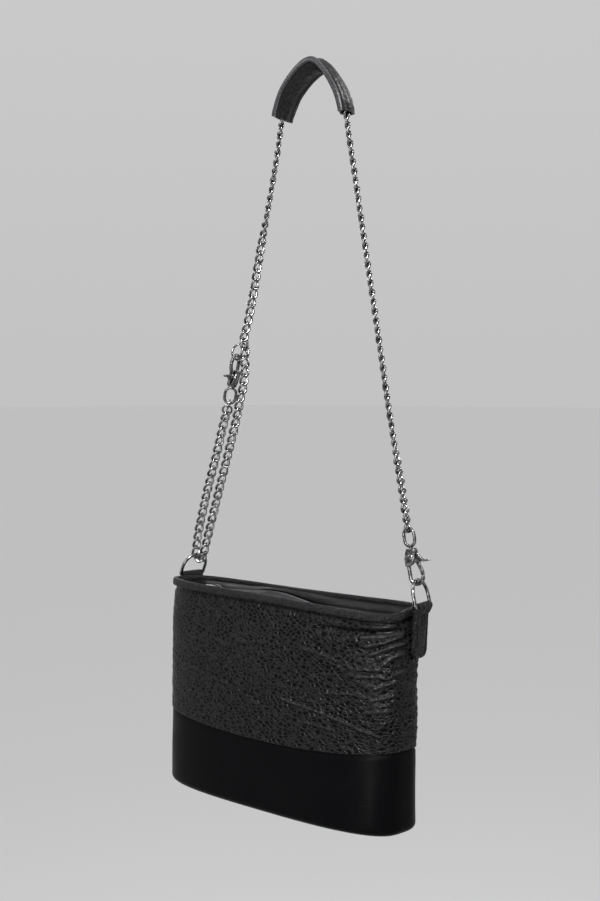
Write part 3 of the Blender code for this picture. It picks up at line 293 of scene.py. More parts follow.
# Painted highlight: a paler line along each folded edge
edgeLeather = leatherMaterial(
    "folded leather edge, paintedHighlight pale", shine=0.30, lean=60.0, stretch=(1.0, 0.8, 0.6), cell=2.4, swell=0.10,
    cellStrength=0.15, poreStrength=0.1, foldStrength=0.1, crease="#1c1c1d", face="#2a2a2c")

plainMetal = {  # what the metals share, with sizes in mm
    "haze": 3.0, "hazeDetail": 4.0, "dullTo": 0.35, "brightFrom": 0.62, "patternRange": (0.3, 0.7),
    "shineSteps": (-0.05, 0.09), "pit": 0.9, "pitDepth": 0.05,
}


def metalMaterial(name, **own):
    # Nickel plate rubbed by wear: bright where it turns to the light, with a faint uneven haze
    look = {**plainMetal, **own}
    material, tree, shader = newMaterial(name, Metallic=1.0, Roughness=look["roughness"])
    place = addNode(tree, "TexCoord").outputs["Object"]
    haze = addNode(tree, "TexNoise", links={"Vector": place},
                   values={"Scale": 1 / (look["haze"] * mm), "Detail": look["hazeDetail"]}).outputs["Fac"]
    tones = ((look["dullTo"], linearColour(look["dull"])), (look["brightFrom"], linearColour(look["bright"])))
    addNode(tree, "ValToRGB", links={"Fac": haze}, stops=tones, feeds=shader.inputs["Base Color"])
    least, most = look["patternRange"]
    low, high = (look["roughness"] + step for step in look["shineSteps"])
    addNode(tree, "MapRange", values={"From Min": least, "From Max": most, "To Min": low, "To Max": high},
            links={"Value": haze}, feeds=shader.inputs["Roughness"])
    pits = addNode(tree, "TexNoise", values={"Scale": 1 / (look["pit"] * mm)}, links={"Vector": place})
    addNode(tree, "Bump", values={"Strength": look["cast"], "Distance": look["pitDepth"] * mm},
            links={"Height": pits.outputs["Fac"]}, feeds=shader.inputs["Normal"])
    return material


# Painted dark reflection: the nickels' base colours are darker than bare nickel, partly for rubbed plate and
# partly to stand in for dark surroundings
# Sharp glints on every link and ring
nickelPlate = metalMaterial(
    "nickel plated steel, rubbed", roughness=0.15, dull="#3c3c3d", bright="#8b8b8c", cast=0.2)
# The same plate over a cast skin: softer highlights and slight pits, its base colours darkened in the same
# way
castNickel = metalMaterial(
    "nickel plated zinc, cast", roughness=0.21, dull="#373738", bright="#808081", cast=0.4)
# Small and dark: a row of dull glints
darkTeeth = metalMaterial(
    "dark plated zip teeth, pressed", roughness=0.34, dull="#38383a", bright="#606062", cast=0.3)

tapeLook = {"colour": "#0f0f10", "roughness": 0.85, "ior": 1.5,
            "ribs": 6.0, "waver": 0.6, "bump": 0.6, "depth": 0.15}


def tapeMaterial(look):
    # Woven polyester tape: matt, with fine ribs of thread about 2 mm apart, drawn coarse so that they show
    material, tree, shader = newMaterial("polyester zip tape, woven", Roughness=look["roughness"],
                                         Base_Color=linearColour(look["colour"]), IOR=look["ior"])
    place = addNode(tree, "TexCoord")
    ribs = addNode(tree, "TexWave", {"bands_direction": "X"},
                   {"Scale": 1 / (look["ribs"] * mm), "Distortion": look["waver"]},
                   {"Vector": place.outputs["Object"]})
    addNode(tree, "Bump", values={"Strength": look["bump"], "Distance": look["depth"] * mm},
            links={"Height": ribs.outputs["Fac"]}, feeds=shader.inputs["Normal"])
    return material


wovenTape = tapeMaterial(tapeLook)
print("materials made")


# The bag's plan is a squared oval that changes a little from the base to the rim

bagForm = {
    "hangX": 28.5, "hangZ": 693.8, "centreY": -15.0,
    "baseLength": 149.0, "baseDepth": 44.9, "baseX": -1.0, "baseLevel": -1.5, "baseEdge": 6.0,
    "rimLength": 150.5, "rimDepth": 38.8, "rimX": 0.5, "rimHeight": 204.0,
    "endRise": 2.0, "backDrop": 4.5, "rimGrowth": 3,
    "sag": 8.2, "sagFrom": -10.0, "sagFull": 140.0, "sagDepth": 40.0, "sagGrowth": 1.5,
    "waist": 0.6, "frontPower": 3.0, "backPower": 4.0, "backFrom": 0.66,
    "seamHeight": 75.0, "seamDip": 9.0, "seamStep": 0.8, "wall": 1.8, "gap": 0.3,
    "columns": 420, "fineAngles": 14401, "turnWeight": 0.5,
}


def planCurve(angle, halfLength, halfDepth, power):
    reach = (np.abs(np.cos(angle)) ** power + np.abs(np.sin(angle)) ** power) ** (-1.0 / power)
    return halfLength * reach * np.cos(angle), halfDepth * reach * np.sin(angle)


def aroundTable():  # angles that lie closer together where the plan turns
    fine = np.linspace(0.0, 2 * math.pi, bagForm["fineAngles"])
    x, y = planCurve(fine, bagForm["baseLength"], bagForm["baseDepth"], bagForm["frontPower"])
    step = np.hypot(np.diff(x), np.diff(y))
    turn = np.abs(np.diff(np.unwrap(np.arctan2(np.diff(y), np.diff(x))), append=0.0))
    turn[-1] = turn[0]
    measure = step / step.sum() + bagForm["turnWeight"] * turn / turn.sum()
    return fine, np.concatenate(([0.0], np.cumsum(measure))) / measure.sum()


fineAngles, fineShares = aroundTable()


def angleAt(share):
    return np.interp(share, fineShares, fineAngles) * (share < 1 - 1e-6)  # the last column meets the first


def planRing(share, inset, angle):  # mm, about the bag's own base
    form = bagForm
    halfLength = blend(form["baseLength"], form["rimLength"], share) - form["waist"] * np.sin(np.pi * share)
    halfDepth = blend(form["baseDepth"], form["rimDepth"], share)
    back = blend(form["frontPower"], form["backPower"], smoothStep(share, form["backFrom"], 1.0))
    power = np.where(np.sin(angle) < -1e-9, form["frontPower"], back)
    x, y = planCurve(angle, halfLength, halfDepth, power)
    slopeX = np.sign(x) * np.abs(x / halfLength) ** (power - 1) / halfLength
    slopeY = np.sign(y) * np.abs(y / halfDepth) ** (power - 1) / halfDepth
    size = np.hypot(slopeX, slopeY)
    centreX = blend(form["baseX"], form["rimX"], share)
    return x - inset * slopeX / size + centreX, y - inset * slopeY / size + form["centreY"]


def heightAt(share, x, y):
    rise = bagForm["endRise"] * (x / bagForm["rimLength"]) ** 2
    fall = bagForm["backDrop"] * (0.5 + 0.5 * (y - bagForm["centreY"]) / bagForm["rimDepth"])
    along = np.clip((x - bagForm["sagFrom"]) / (bagForm["sagFull"] - bagForm["sagFrom"]), 0.0, 1.0)
    sag = bagForm["sag"] * along ** bagForm["sagGrowth"] * smoothStep(-y, 0.0, bagForm["sagDepth"])
    return bagForm["rimHeight"] * share + (rise - fall - sag) * share ** bagForm["rimGrowth"]


foldForm = {  # a crease below the rim at the right front and its two swells: share above it, spread, inset
    "from": 60.0, "full": 105.0, "left": 0.898, "right": 0.915, "front": (0.05, 0.45), "fade": 0.945,
    "clear": 8.0, "rows": ((0.0, 0.013, 3.0), (-0.036, 0.024, -1.9), (0.028, 0.014, -1.5)),
}


def foldInset(x, y, share):
    form = foldForm
    along = smoothStep(x, form["from"], form["full"])
    front = smoothStep((bagForm["centreY"] - y) / bagForm["rimDepth"], *form["front"])
    crease = blend(form["left"], form["right"], smoothStep(x, form["full"], bagForm["rimLength"]))
    shape = sum(inset * bell(share - crease - above, spread) for above, spread, inset in form["rows"])
    fade = 1.0 - smoothStep(share, form["fade"], 1.0 - form["clear"] / bagForm["rimHeight"])
    return along * front * fade * shape


def bodySurface(around, share, inset, dip):
    angle = angleAt(around)
    x, y = planRing(share, inset, angle)
    x, y = planRing(share, inset + foldInset(x, y, share), angle)
    sag = dip * bagForm["seamDip"] * (1 - (x / bagForm["rimLength"]) ** 2)
    return x, y, heightAt(share, x, y) - sag


def toRow(x, y, z):
    return x - bagForm["hangX"], y, z - bagForm["hangZ"]


# Upper part: pebbled, with long wrinkles that run down to the right over the front

upperForm = {  # from the seam to the rim: shares of the height, insets there, and shares of the seam's dip
    "shares": (bagForm["seamHeight"] / bagForm["rimHeight"],
               0.50, 0.65, 0.76, 0.84, 0.875, 0.90, 0.918, 0.938, 0.952, 0.968, 1.0),
    "insets": (0, 0, 0.085, 0.51, 1.02, 1.6, 2.0, 2.2, 2.5, 4.2, 1.7, 1.7),
    "dips": (1.0, 0.5, 0.2, 0, 0, 0, 0, 0, 0, 0, 0, 0),
    "rows": 110, "topDrop": 2.2, "tableSteps": 401, "blur": 9, "edge": 0.5,
    "quietFrom": (0.93, 0.90), "quietFull": (0.955, 0.91), "lapShown": 0.3, "lapFull": 0.05,
    "roll": 0.12, "rollAt": (0.016, 0.045), "rollWidth": 0.012, "rollDip": 0.8,
}

wrinkleForm = {  # heights and noise sizes in mm
    "lean": 22.0, "height": 1.5, "long": (42.0, 30.0, 8.5), "short": (15.0, 15.0, 4.5),
    "shift": (7.0, 0.0, 0.0), "longShare": 0.7, "shortShare": 0.4, "middle": 0.35, "weakest": 0.35,
    "strong": (-60, 70), "rim": (150, 190), "rimCalm": 0.6, "sway": 0.7, "swaySize": (55.0, 55.0, 40.0),
    "pebble": (6.4, 5.2, 4.4), "pebbleHeight": 0.4, "pebbleEdge": 0.4, "pebbleMiddle": 0.6,
    "leftEnd": (-148, -105),
    "gather": 0.9, "gatherLean": -20.0, "gatherSize": (16.0, 20.0, 4.6),  # short ones towards the right tab
    "gatherX": (70, 105), "gatherFoot": (105, 130), "gatherHead": (170, 183),
    "frontOnly": 8.0, "hollow": 0.3, "hollowAt": 2.0,
    "ridges": (  # height, width, and the points that each long wrinkle runs through, in X and Z
        (0.9, 1.3, ((-100, 122), (-66, 117), (-35, 112), (4, 100))),
        (1.5, 1.3, ((32, 110), (72, 105), (107, 98), (138, 89))),
        (0.9, 1.3, ((11, 121), (62, 122))), (1.0, 1.2, ((53, 93), (72, 92), (92, 90))),
        (0.7, 1.3, ((-30, 155), (15, 160))), (1.1, 1.4, ((58, 159), (91, 155), (114, 147), (137, 148))),
        (1.5, 1.4, ((118, 141), (136, 142), (147, 139))), (1.0, 1.4, ((85, 122), (110, 125), (133, 122))),
        (1.7, 1.5, ((121, 176), (141, 178), (153, 181))), (1.8, 1.5, ((129, 161), (145, 168), (153, 173))),
        (1.4, 1.3, ((139, 152), (150, 163))), (1.2, 1.3, ((145, 142), (155, 151))),
        (1.6, 1.4, ((125, 168), (141, 172), (151, 178))), (1.5, 1.4, ((134, 131), (147, 137))),
        (1.4, 1.4, ((130, 120), (146, 125))), (1.0, 1.4, ((126, 110), (145, 112)))),
}


def smoothTable(values):
    shares = np.linspace(upperForm["shares"][0], 1.0, upperForm["tableSteps"])
    padded = np.pad(np.interp(shares, upperForm["shares"], values), upperForm["blur"] // 2, mode="edge")
    weights = np.hanning(upperForm["blur"] + 2)[1:-1]
    return shares, np.convolve(padded, weights / weights.sum(), mode="valid")


insetTable, dipTable = smoothTable(upperForm["insets"]), smoothTable(upperForm["dips"])


def leanAxes(x, z, degrees):
    angle = math.radians(degrees)
    return x * math.cos(angle) - z * math.sin(angle), x * math.sin(angle) + z * math.cos(angle)


def hideRelief(x, y, z):  # mm outwards
    form = wrinkleForm
    along, across = leanAxes(x, z, form["lean"])
    long = ridgedAt(5, form["long"], along, y, across)
    short = ridgedAt(4, form["short"], along, y, across, shift=form["shift"])
    strong = smoothStep(x, *form["strong"]) * (1 - form["rimCalm"] * smoothStep(z, *form["rim"]))
    wrinkle = form["longShare"] * long + form["shortShare"] * short - form["middle"]
    relief = form["height"] * blend(form["weakest"], 1.0, strong) * wrinkle
    up, side = leanAxes(x, z, form["gatherLean"])
    gather = ridgedAt(4, form["gatherSize"], up, y, side)
    near = smoothStep(x, *form["gatherX"]) * smoothStep(z, *form["gatherFoot"])
    relief += form["gather"] * near * (1 - smoothStep(z, *form["gatherHead"])) * (gather - form["middle"])
    cells = [noise.voronoi(point)[0] for point in noisePoints(form["pebble"], (along, y, across))]
    pebble = np.array([min((cell[1] - cell[0]) / form["pebbleEdge"], 1.0) for cell in cells])
    shown = blend(form["weakest"], 1.0, smoothStep(x, *form["leftEnd"]))
    relief += form["pebbleHeight"] * shown * (pebble * (2 - pebble) - form["pebbleMiddle"])
    return relief + form["sway"] * noiseAt(form["swaySize"], x, y, z)


def ridgeRelief(x, y, z):  # mm outwards, over the front alone
    form = wrinkleForm
    total = np.zeros_like(x)
    for height, width, points in form["ridges"]:
        nearest = np.full_like(x, np.inf)
        for (x1, z1), (x2, z2) in zip(points, points[1:]):
            share = ((x - x1) * (x2 - x1) + (z - z1) * (z2 - z1)) / ((x2 - x1) ** 2 + (z2 - z1) ** 2)
            along = np.clip(share, 0.0, 1.0)
            distance = np.hypot(x - x1 - along * (x2 - x1), z - z1 - along * (z2 - z1))
            nearest = np.minimum(nearest, distance)
        hollow = form["hollow"] * bell(nearest - form["hollowAt"] * width, width)
        total += height * (bell(nearest, width) - hollow)
    return total * smoothStep(bagForm["centreY"] - y, 0.0, form["frontOnly"])


def upperPlace(around, up):
    form = upperForm
    share = blend(form["shares"][0], 1 - form["topDrop"] / bagForm["rimHeight"], up)
    inset, dip = np.interp(share, *insetTable), np.interp(share, *dipTable)
    x, y, z = bodySurface(around, share, inset, dip)
    band = smoothStep(x, foldForm["from"], foldForm["full"])
    quiet = 1 - smoothStep(share, blend(*form["quietFrom"], band), blend(*form["quietFull"], band))
    quiet *= blend(form["lapShown"], 1.0, smoothStep(up, 0.0, form["lapFull"]))
    crest, dent = (bell(up - at, form["rollWidth"]) for at in form["rollAt"])
    relief = (hideRelief(x, y, z) + ridgeRelief(x, y, z)) * quiet
    relief += form["roll"] * (crest - form["rollDip"] * dent)
    return toRow(*bodySurface(around, share, inset - relief, dip))


grainForm = {  # how far the grain fades, and the ranges in X and Z over which it does
    "band": 0.9, "bandX": (60.0, 110.0), "bandZ": (176.0, 184.0), "leftEnd": 0.55, "leftX": (-148.0, -70.0),
    "corner": 0.5, "cornerX": (112.0, 132.0), "cornerZ": (100.0, 112.0), "least": 0.08, "crestHighlightFrom": 0.4,
}


def showGrain(piece):  # the grain fades out at the left end, below the binding and at the right corner, and the long wrinkles' crests are marked for a painted highlight
    form = grainForm
    x, y, z = (vertexArray(piece) / mm + (bagForm["hangX"], 0.0, bagForm["hangZ"])).T
    band = form["band"] * smoothStep(z, *form["bandZ"]) * smoothStep(x, *form["bandX"])
    leftEnd = form["leftEnd"] * (1 - smoothStep(x, *form["leftX"]))
    corner = form["corner"] * smoothStep(x, *form["cornerX"]) * smoothStep(z, *form["cornerZ"]) * (y < 0)
    for name, values in (("grainShown", np.clip(1 - band - leftEnd - corner, form["least"], 1.0)),
                         ("crestHighlightShown", np.clip(ridgeRelief(x, y, z) - form["crestHighlightFrom"], 0.0, 1.0))):
        shown = piece.data.attributes.new(name, "FLOAT", "POINT")
        shown.data.foreach_set("value", values.astype(np.float32))


upper = gridPiece("upperLeather", bagForm["columns"], upperForm["rows"], upperPlace)
showGrain(upper)
giveWall(upper, bagForm["wall"], upperForm["edge"])
dressNode(upper, pebbledLeather, "upper_body")
print("upper part:", len(upper.data.polygons), "faces")


# Lower part: smooth, a cup tucked behind the upper's lower edge

lowerForm = {
    "baseReach": (0.0, 0.2, 0.4, 0.6, 0.8, 0.92), "edgeTurn": 15,
    "wallFrom": 7.5, "wallTo": 71.0, "wallRows": 26, "shoulder": (73.0, 1.5), "tuckRows": (74.7, 78.0, 81.0),
    "sway": 0.5, "swaySize": (45.0, 45.0, 60.0), "swayShift": (0.0, 0.0, 9.0),
    "swayFrom": (4.0, 14.0), "swayTo": (60.0, 71.0),
}


def lowerRows():  # each row is height, inset, share of the seam's dip, and share of the plan's reach
    form, step, edge = lowerForm, bagForm["seamStep"], bagForm["baseEdge"]
    rows = [(bagForm["baseLevel"], step + edge, 0.0, reach) for reach in form["baseReach"]]
    for angle in np.radians(range(0, 91, form["edgeTurn"])):
        rise, inward = edge * (1 - math.cos(angle)), edge * (1 - math.sin(angle))
        rows.append((bagForm["baseLevel"] + rise, step + inward, 0.0, 1.0))
    for height in np.linspace(form["wallFrom"], form["wallTo"], form["wallRows"]):
        rows.append((height, step, height / form["wallTo"], 1.0))
    tucked = bagForm["wall"] + bagForm["gap"]
    rows.append((*form["shoulder"], 1.0, 1.0))
    return rows + [(height, tucked, 1.0, 1.0) for height in form["tuckRows"]]


lowerTable = np.array(lowerRows())


def lowerPlace(around, up):
    form = lowerForm
    height, inset, dip, reach = rowsAt(lowerTable, up)
    share = height / bagForm["rimHeight"]
    flat = bodySurface(around, share, inset, dip)
    sway = form["sway"] * noiseAt(form["swaySize"], *flat, shift=form["swayShift"])
    sway *= smoothStep(height, *form["swayFrom"]) * (1 - smoothStep(height, *form["swayTo"]))
    x, y, z = bodySurface(around, share, inset - sway, dip)
    return toRow(blend(bagForm["baseX"], x, reach), blend(bagForm["centreY"], y, reach), z)


lower = gridPiece("lowerLeather", bagForm["columns"] // 2, len(lowerTable) - 1, lowerPlace)
giveWall(lower, bagForm["wall"])
dressNode(lower, smoothLeather, "lower_body")
print("lower part:", len(lower.data.polygons), "faces")


# Rolled binding over the top edge: a slotted round section carried round the rim

bindingForm = {  # the section is a list of shares of the thickness and the height
    "thick": 5.2, "height": 7.3, "leather": 1.4, "slotTop": 1.9,
    "waver": 0.24, "fineWaver": (5.0, 5.0, 9.0), "longWaver": (22.0, 22.0, 1.0), "longPlace": 3.0,
    "section": ((0.08, 1.0), (0.0, 0.86), (0.0, 0.68), (0.0, 0.5), (0.02, 0.34), (0.09, 0.19),
                (0.20, 0.08), (0.35, 0.02), (0.5, 0.0), (0.65, 0.02), (0.80, 0.08), (0.91, 0.19),
                (0.98, 0.34), (1.0, 0.5), (1.0, 0.75), (0.97, 1.0)),
}


def bindingRows():  # each row is inset, drop below the rim, and whether the leather is free to waver there
    form = bindingForm
    rows = [(inset * form["thick"], drop * form["height"], 1.0) for inset, drop in form["section"]]
    inner = form["leather"] + 2 * bagForm["gap"] + bagForm["wall"]
    rows += [(inner, form["height"], 0.0), (inner, form["slotTop"], 0.0)]
    rows += [(form["leather"], form["slotTop"], 0.0), (form["leather"], form["height"], 0.0)]
    return np.array(rows + rows[:1])


bindingTable = bindingRows()


def bindingPlace(around, section):
    form = bindingForm
    inset, drop, free = rowsAt(bindingTable, section)
    share = 1.0 - drop / bagForm["rimHeight"]
    x, y, z = bodySurface(around, share, inset, 0.0)
    waver = noiseAt(form["fineWaver"], x, y, z) + noiseAt(form["longWaver"], x, y, form["longPlace"])
    return toRow(*bodySurface(around, share, inset - waver * form["waver"] * free, 0.0))


binding = gridPiece("rimBinding", bagForm["columns"], len(bindingTable) - 1, bindingPlace, closed=True)
dressNode(binding, bindingLeather, "rim_binding")
print("binding:", len(binding.data.polygons), "faces")


# The recessed zip: two leather facings, a tape, its teeth, and the slider with its puller

zipForm = {
    "gap": 8.0, "thick": 1.6, "edge": 0.45, "columns": 150, "rows": 14, "rimAngles": 2881, "leastReach": 10.0,
    "edgeDrop": 3.5, "midDrop": 5.3, "zipDrop": 8.8, "midRise": 4.7, "zipRise": 8.0,
    "puffX": -20.0, "puffHalf": 78.0, "shares": (0.0, 0.35, 0.72, 1.0), "secondAt": 0.55, "round": 0.3,
    "ripple": 0.35, "rippleSize": (26.0, 1 / 3, 1 / 4),
    "tapeWidth": 12.0, "tapeThick": 1.0, "tapeGrid": (90, 6), "belowStrip": 0.9, "endGap": 0.7,
    "toothPitch": 2.2, "toothSize": (1.3, 2.3, 1.5), "toothEdge": 0.3, "toothSide": 0.6, "toothLift": 0.78,
    "teethFrom": -140.0, "teethTo": 141.0, "sliderFrom": -104.5, "sliderTo": -89.5,
}


def puffAt(x):
    return np.cos(0.5 * np.pi * np.minimum(np.abs(x - zipForm["puffX"]) / zipForm["puffHalf"], 1.0)) ** 2


def zipEdgeHeight(x):
    return heightAt(1.0, x, bagForm["centreY"]) - zipForm["zipDrop"] + zipForm["zipRise"] * puffAt(x)


def throughKnots(places, knots, at):  # a smooth curve through the knots, a cubic where they are four
    total = np.zeros_like(at)
    for i, knot in enumerate(knots):
        term = knot.copy()
        for j, place in enumerate(places):
            if j != i:
                term *= (at - place) / (places[i] - place)
        total += term
    return total


def stripPlace(side):
    form = zipForm
    angles = np.linspace(0.0, 2 * math.pi, form["rimAngles"])
    ring = planRing(1.0, bindingForm["thick"] + bagForm["gap"], angles)
    kept = np.array(ring)[:, side * (ring[1] - bagForm["centreY"]) > form["leastReach"]]
    edgeX, edgeY = kept[:, np.argsort(kept[0])]

    def placeAt(along, over):
        x = blend(edgeX[0], edgeX[-1], along if side < 0 else 1 - along)
        y, puff = np.interp(x, edgeX, edgeY), puffAt(x)
        edge = heightAt(1.0, x, y) - form["edgeDrop"]
        middle = heightAt(1.0, x, bagForm["centreY"]) - form["midDrop"] + form["midRise"] * puff
        second = (1 - form["secondAt"]) * edge + form["secondAt"] * middle + form["round"] * puff
        height = throughKnots(form["shares"], (edge, second, middle, zipEdgeHeight(x)), over)
        height += form["ripple"] * noiseAt(form["rippleSize"], x, over, side) * np.sin(np.pi * over)
        return toRow(x, blend(y, bagForm["centreY"] + side * form["gap"] / 2, over), height)
    return placeAt


for side, name, node in ((-1, "facingFront", "zip_strip_front"), (1, "facingBack", "zip_strip_back")):
    facing = gridPiece(name, zipForm["columns"], zipForm["rows"], stripPlace(side))
    giveWall(facing, zipForm["thick"], zipForm["edge"])
    dressNode(facing, facingLeather, node)


def tapeTop(x):
    return zipEdgeHeight(x) - zipForm["thick"] - zipForm["belowStrip"]


def tapePlace(along, over):
    reach = bagForm["rimLength"] - bindingForm["thick"] - zipForm["endGap"]
    x = bagForm["rimX"] + reach * (2 * along - 1)
    return toRow(x, bagForm["centreY"] + zipForm["tapeWidth"] * (over - 0.5), tapeTop(x))


tape = gridPiece("zipTape", *zipForm["tapeGrid"], tapePlace)
giveWall(tape, zipForm["tapeThick"])
dressNode(tape, wovenTape, "zip_tape")

deselectAll()
bpy.ops.mesh.primitive_cube_add(size=1.0, scale=tuple(side * mm for side in zipForm["toothSize"]))
tooth = bpy.context.object
applyModifier(tooth, "BEVEL", width=zipForm["toothEdge"] * mm, segments=1)
teeth = []
for i, x in enumerate(np.arange(zipForm["teethFrom"], zipForm["teethTo"], zipForm["toothPitch"] / 2)):
    if zipForm["sliderFrom"] < x < zipForm["sliderTo"]:  # the slider's body hides these
        continue
    teeth.append(copyPiece(tooth))
    y = bagForm["centreY"] + zipForm["toothSide"] * (1 if i % 2 else -1)
    place = Vector(toRow(x, y, float(tapeTop(x)) + zipForm["toothLift"])) * mm
    teeth[-1].data.transform(Matrix.Translation(place))
bpy.data.objects.remove(tooth)
finishPiece(joinAll("zipTeeth", teeth), darkTeeth, "bag", [], 30.0)


# A cast or pressed look: a solid's copy with its edges rounded a little

castForm = {  # each kind has its voxel, its smoothing passes and any own regrowth
    "merge": 0.005, "smooth": 0.5, "regrow": 0.03, "slider": (0.26, 2), "puller": (0.20, 2),
    "hook": (0.30, 4), "lever": (0.26, 3, 0.0), "eye": (0.28, 3), "tab": (0.42, 5),
}


def castCopy(name, node, voxel, passes, regrow=castForm["regrow"]):
    piece = copyPiece(nodes[node])
    for key in list(piece.keys()):
        if key.startswith("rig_"):
            del piece[key]
    piece.parent = None
    piece.matrix_world = Matrix.Identity(4)
    piece.name = name
    editMesh(piece, bpy.ops.mesh.remove_doubles, threshold=castForm["merge"] * mm)
    applyModifier(piece, "REMESH", mode="VOXEL", voxel_size=voxel * mm)
    applyModifier(piece, "SMOOTH", factor=castForm["smooth"], iterations=passes)
    if regrow:  # gives back what smoothing takes
        applyModifier(piece, "DISPLACE", strength=regrow * passes * mm, mid_level=0.0)
    return piece


def castPiece(name, node, material, settings, body="bag"):
    dressNode(castCopy(name, node, *settings), material, node, roundAngle, body)


castPiece("zipSlider", "zip_slider", nickelPlate, castForm["slider"])
castPiece("zipPuller", "zip_puller", nickelPlate, castForm["puller"], "zip_puller")
print("zip made")


# Snaps: the hook, its lever and the swivel eye, all cast, with the lever clear of the ring when pressed

for side in ("left", "right"):
    castPiece("snapHook" + side.title(), "clasp_" + side, castNickel, castForm["hook"])
    castPiece("snapLever" + side.title(), "lever_" + side, castNickel, castForm["lever"], "lever_" + side)
    castPiece("snapEye" + side.title(), "swivel_eye_" + side, nickelPlate, castForm["eye"])
print("snaps made")


# Closed wires: a torus whose rings are set along a path, in mm, each turned to the wire's own side there

def closedWire(name, path, sides, outwards, radius):
    count = len(path)
    path, outwards = np.array(path, float), np.array(outwards, float)
    deselectAll()
    bpy.ops.mesh.primitive_torus_add(major_segments=count, minor_segments=sides,
                                     major_radius=1.0, minor_radius=0.25)
    piece = bpy.context.object
    piece.name = name
    flat = vertexArray(piece)
    index = np.rint(np.arctan2(flat[:, 1], flat[:, 0]) / (2 * np.pi) * count).astype(int) % count
    around = np.arctan2(flat[:, 2], np.hypot(flat[:, 0], flat[:, 1]) - 1.0)[:, None]
    tangent = unit(np.roll(path, -1, axis=0) - np.roll(path, 1, axis=0))
    outwards = unit(outwards - tangent * (outwards * tangent).sum(axis=1)[:, None])
    upwards = np.cross(outwards, tangent)
    section = np.cos(around) * outwards[index] + np.sin(around) * upwards[index]
    setVertices(piece, (path[index] + radius * section) * mm)
    faceOutwards(piece)
    return piece


def arcPoints(centreX, centreZ, radius, start, end, steps):
    angles = np.radians(np.linspace(start, end, steps + 1))
    return [(centreX + radius * math.cos(a), centreZ + radius * math.sin(a)) for a in angles]


def layAlong(piece, origin, *axes):  # moves the mesh to an origin in mm, with its own axes along these
    piece.data.transform(Matrix.Translation(Vector(origin) * mm) @ Matrix(axes).transposed().to_4x4())


ringForm = {  # each D-ring has its node, the middle of its bar, and its ways across and up
    "wire": 1.6, "half": 14.25, "height": 24.0, "corner": 2.2, "leg": (3.2, 8.8), "barHalf": 11.0,
    "legSteps": 5, "barSteps": 12, "cornerSteps": 5, "bowSteps": 14, "sides": 14, "roundSteps": 56,
    "ringLeft": ("d_ring_left", (-181.91, 0, -490.3), (-0.1045, -0.9945, 0), (0.436, -0.0458, 0.8988)),
    "ringRight": ("d_ring_right", (125.8, 0, -491.8), (-0.2164, 0.9763, 0), (-0.2362, -0.0524, 0.9703)),
}


def dRing(name):
    form = ringForm
    node, bar, across, up = form[name]
    inner = form["half"] - form["corner"]
    flat = arcPoints(inner, form["corner"], form["corner"], -90, 0, form["cornerSteps"])
    flat += [(form["half"], z) for z in np.linspace(*form["leg"], form["legSteps"])]
    flat += arcPoints(0, form["height"] - form["half"], form["half"], 0, 90, form["bowSteps"])
    flat += [(-x, z) for x, z in flat[-2::-1]]  # the other half is its mirror image
    flat += [(x, 0.0) for x in np.linspace(-form["barHalf"], form["barHalf"], form["barSteps"])]
    path = [(x, 0.0, z) for x, z in flat]
    ring = closedWire(name, path, form["sides"], [(0, 1, 0)] * len(path), form["wire"])
    z = Vector(up).normalized()
    x = (Vector(across) - z * Vector(across).dot(z)).normalized()
    layAlong(ring, bar, x, z.cross(x), z)
    dressNode(ring, nickelPlate, node, roundAngle)


dRing("ringLeft")
dRing("ringRight")

roundRings = {  # centre, normal, radius and wire, in mm
    "anchorRing": ("anchor_ring", (-104.22, -3.58, -261.31), (0.3868, -0.8688, 0.309), 8.85, 1.1),
    "jumpRingUpper": ("jump_ring_upper", (-122.18, -2.92, -313.53), (0.6621, 0.702, -0.2624), 4.6, 1.0),
    "jumpRingLower": ("jump_ring_lower", (-125.2, -2.15, -319.11), (-0.5815, 0.702, 0.4112), 4.6, 1.0),
}

for name, (node, centre, normal, radius, wire) in roundRings.items():
    turn = Vector((0, 0, 1)).rotation_difference(Vector(normal)).to_matrix().to_4x4()
    deselectAll()
    bpy.ops.mesh.primitive_torus_add(major_segments=ringForm["roundSteps"], minor_segments=ringForm["sides"],
                                     major_radius=radius * mm, minor_radius=wire * mm)
    ring = bpy.context.object
    ring.name = name
    ring.data.transform(Matrix.Translation(Vector(centre) * mm) @ turn)
    dressNode(ring, nickelPlate, node, roundAngle)
print("rings made")


# The curb chain: one twisted link, copied along the strap's two stretches

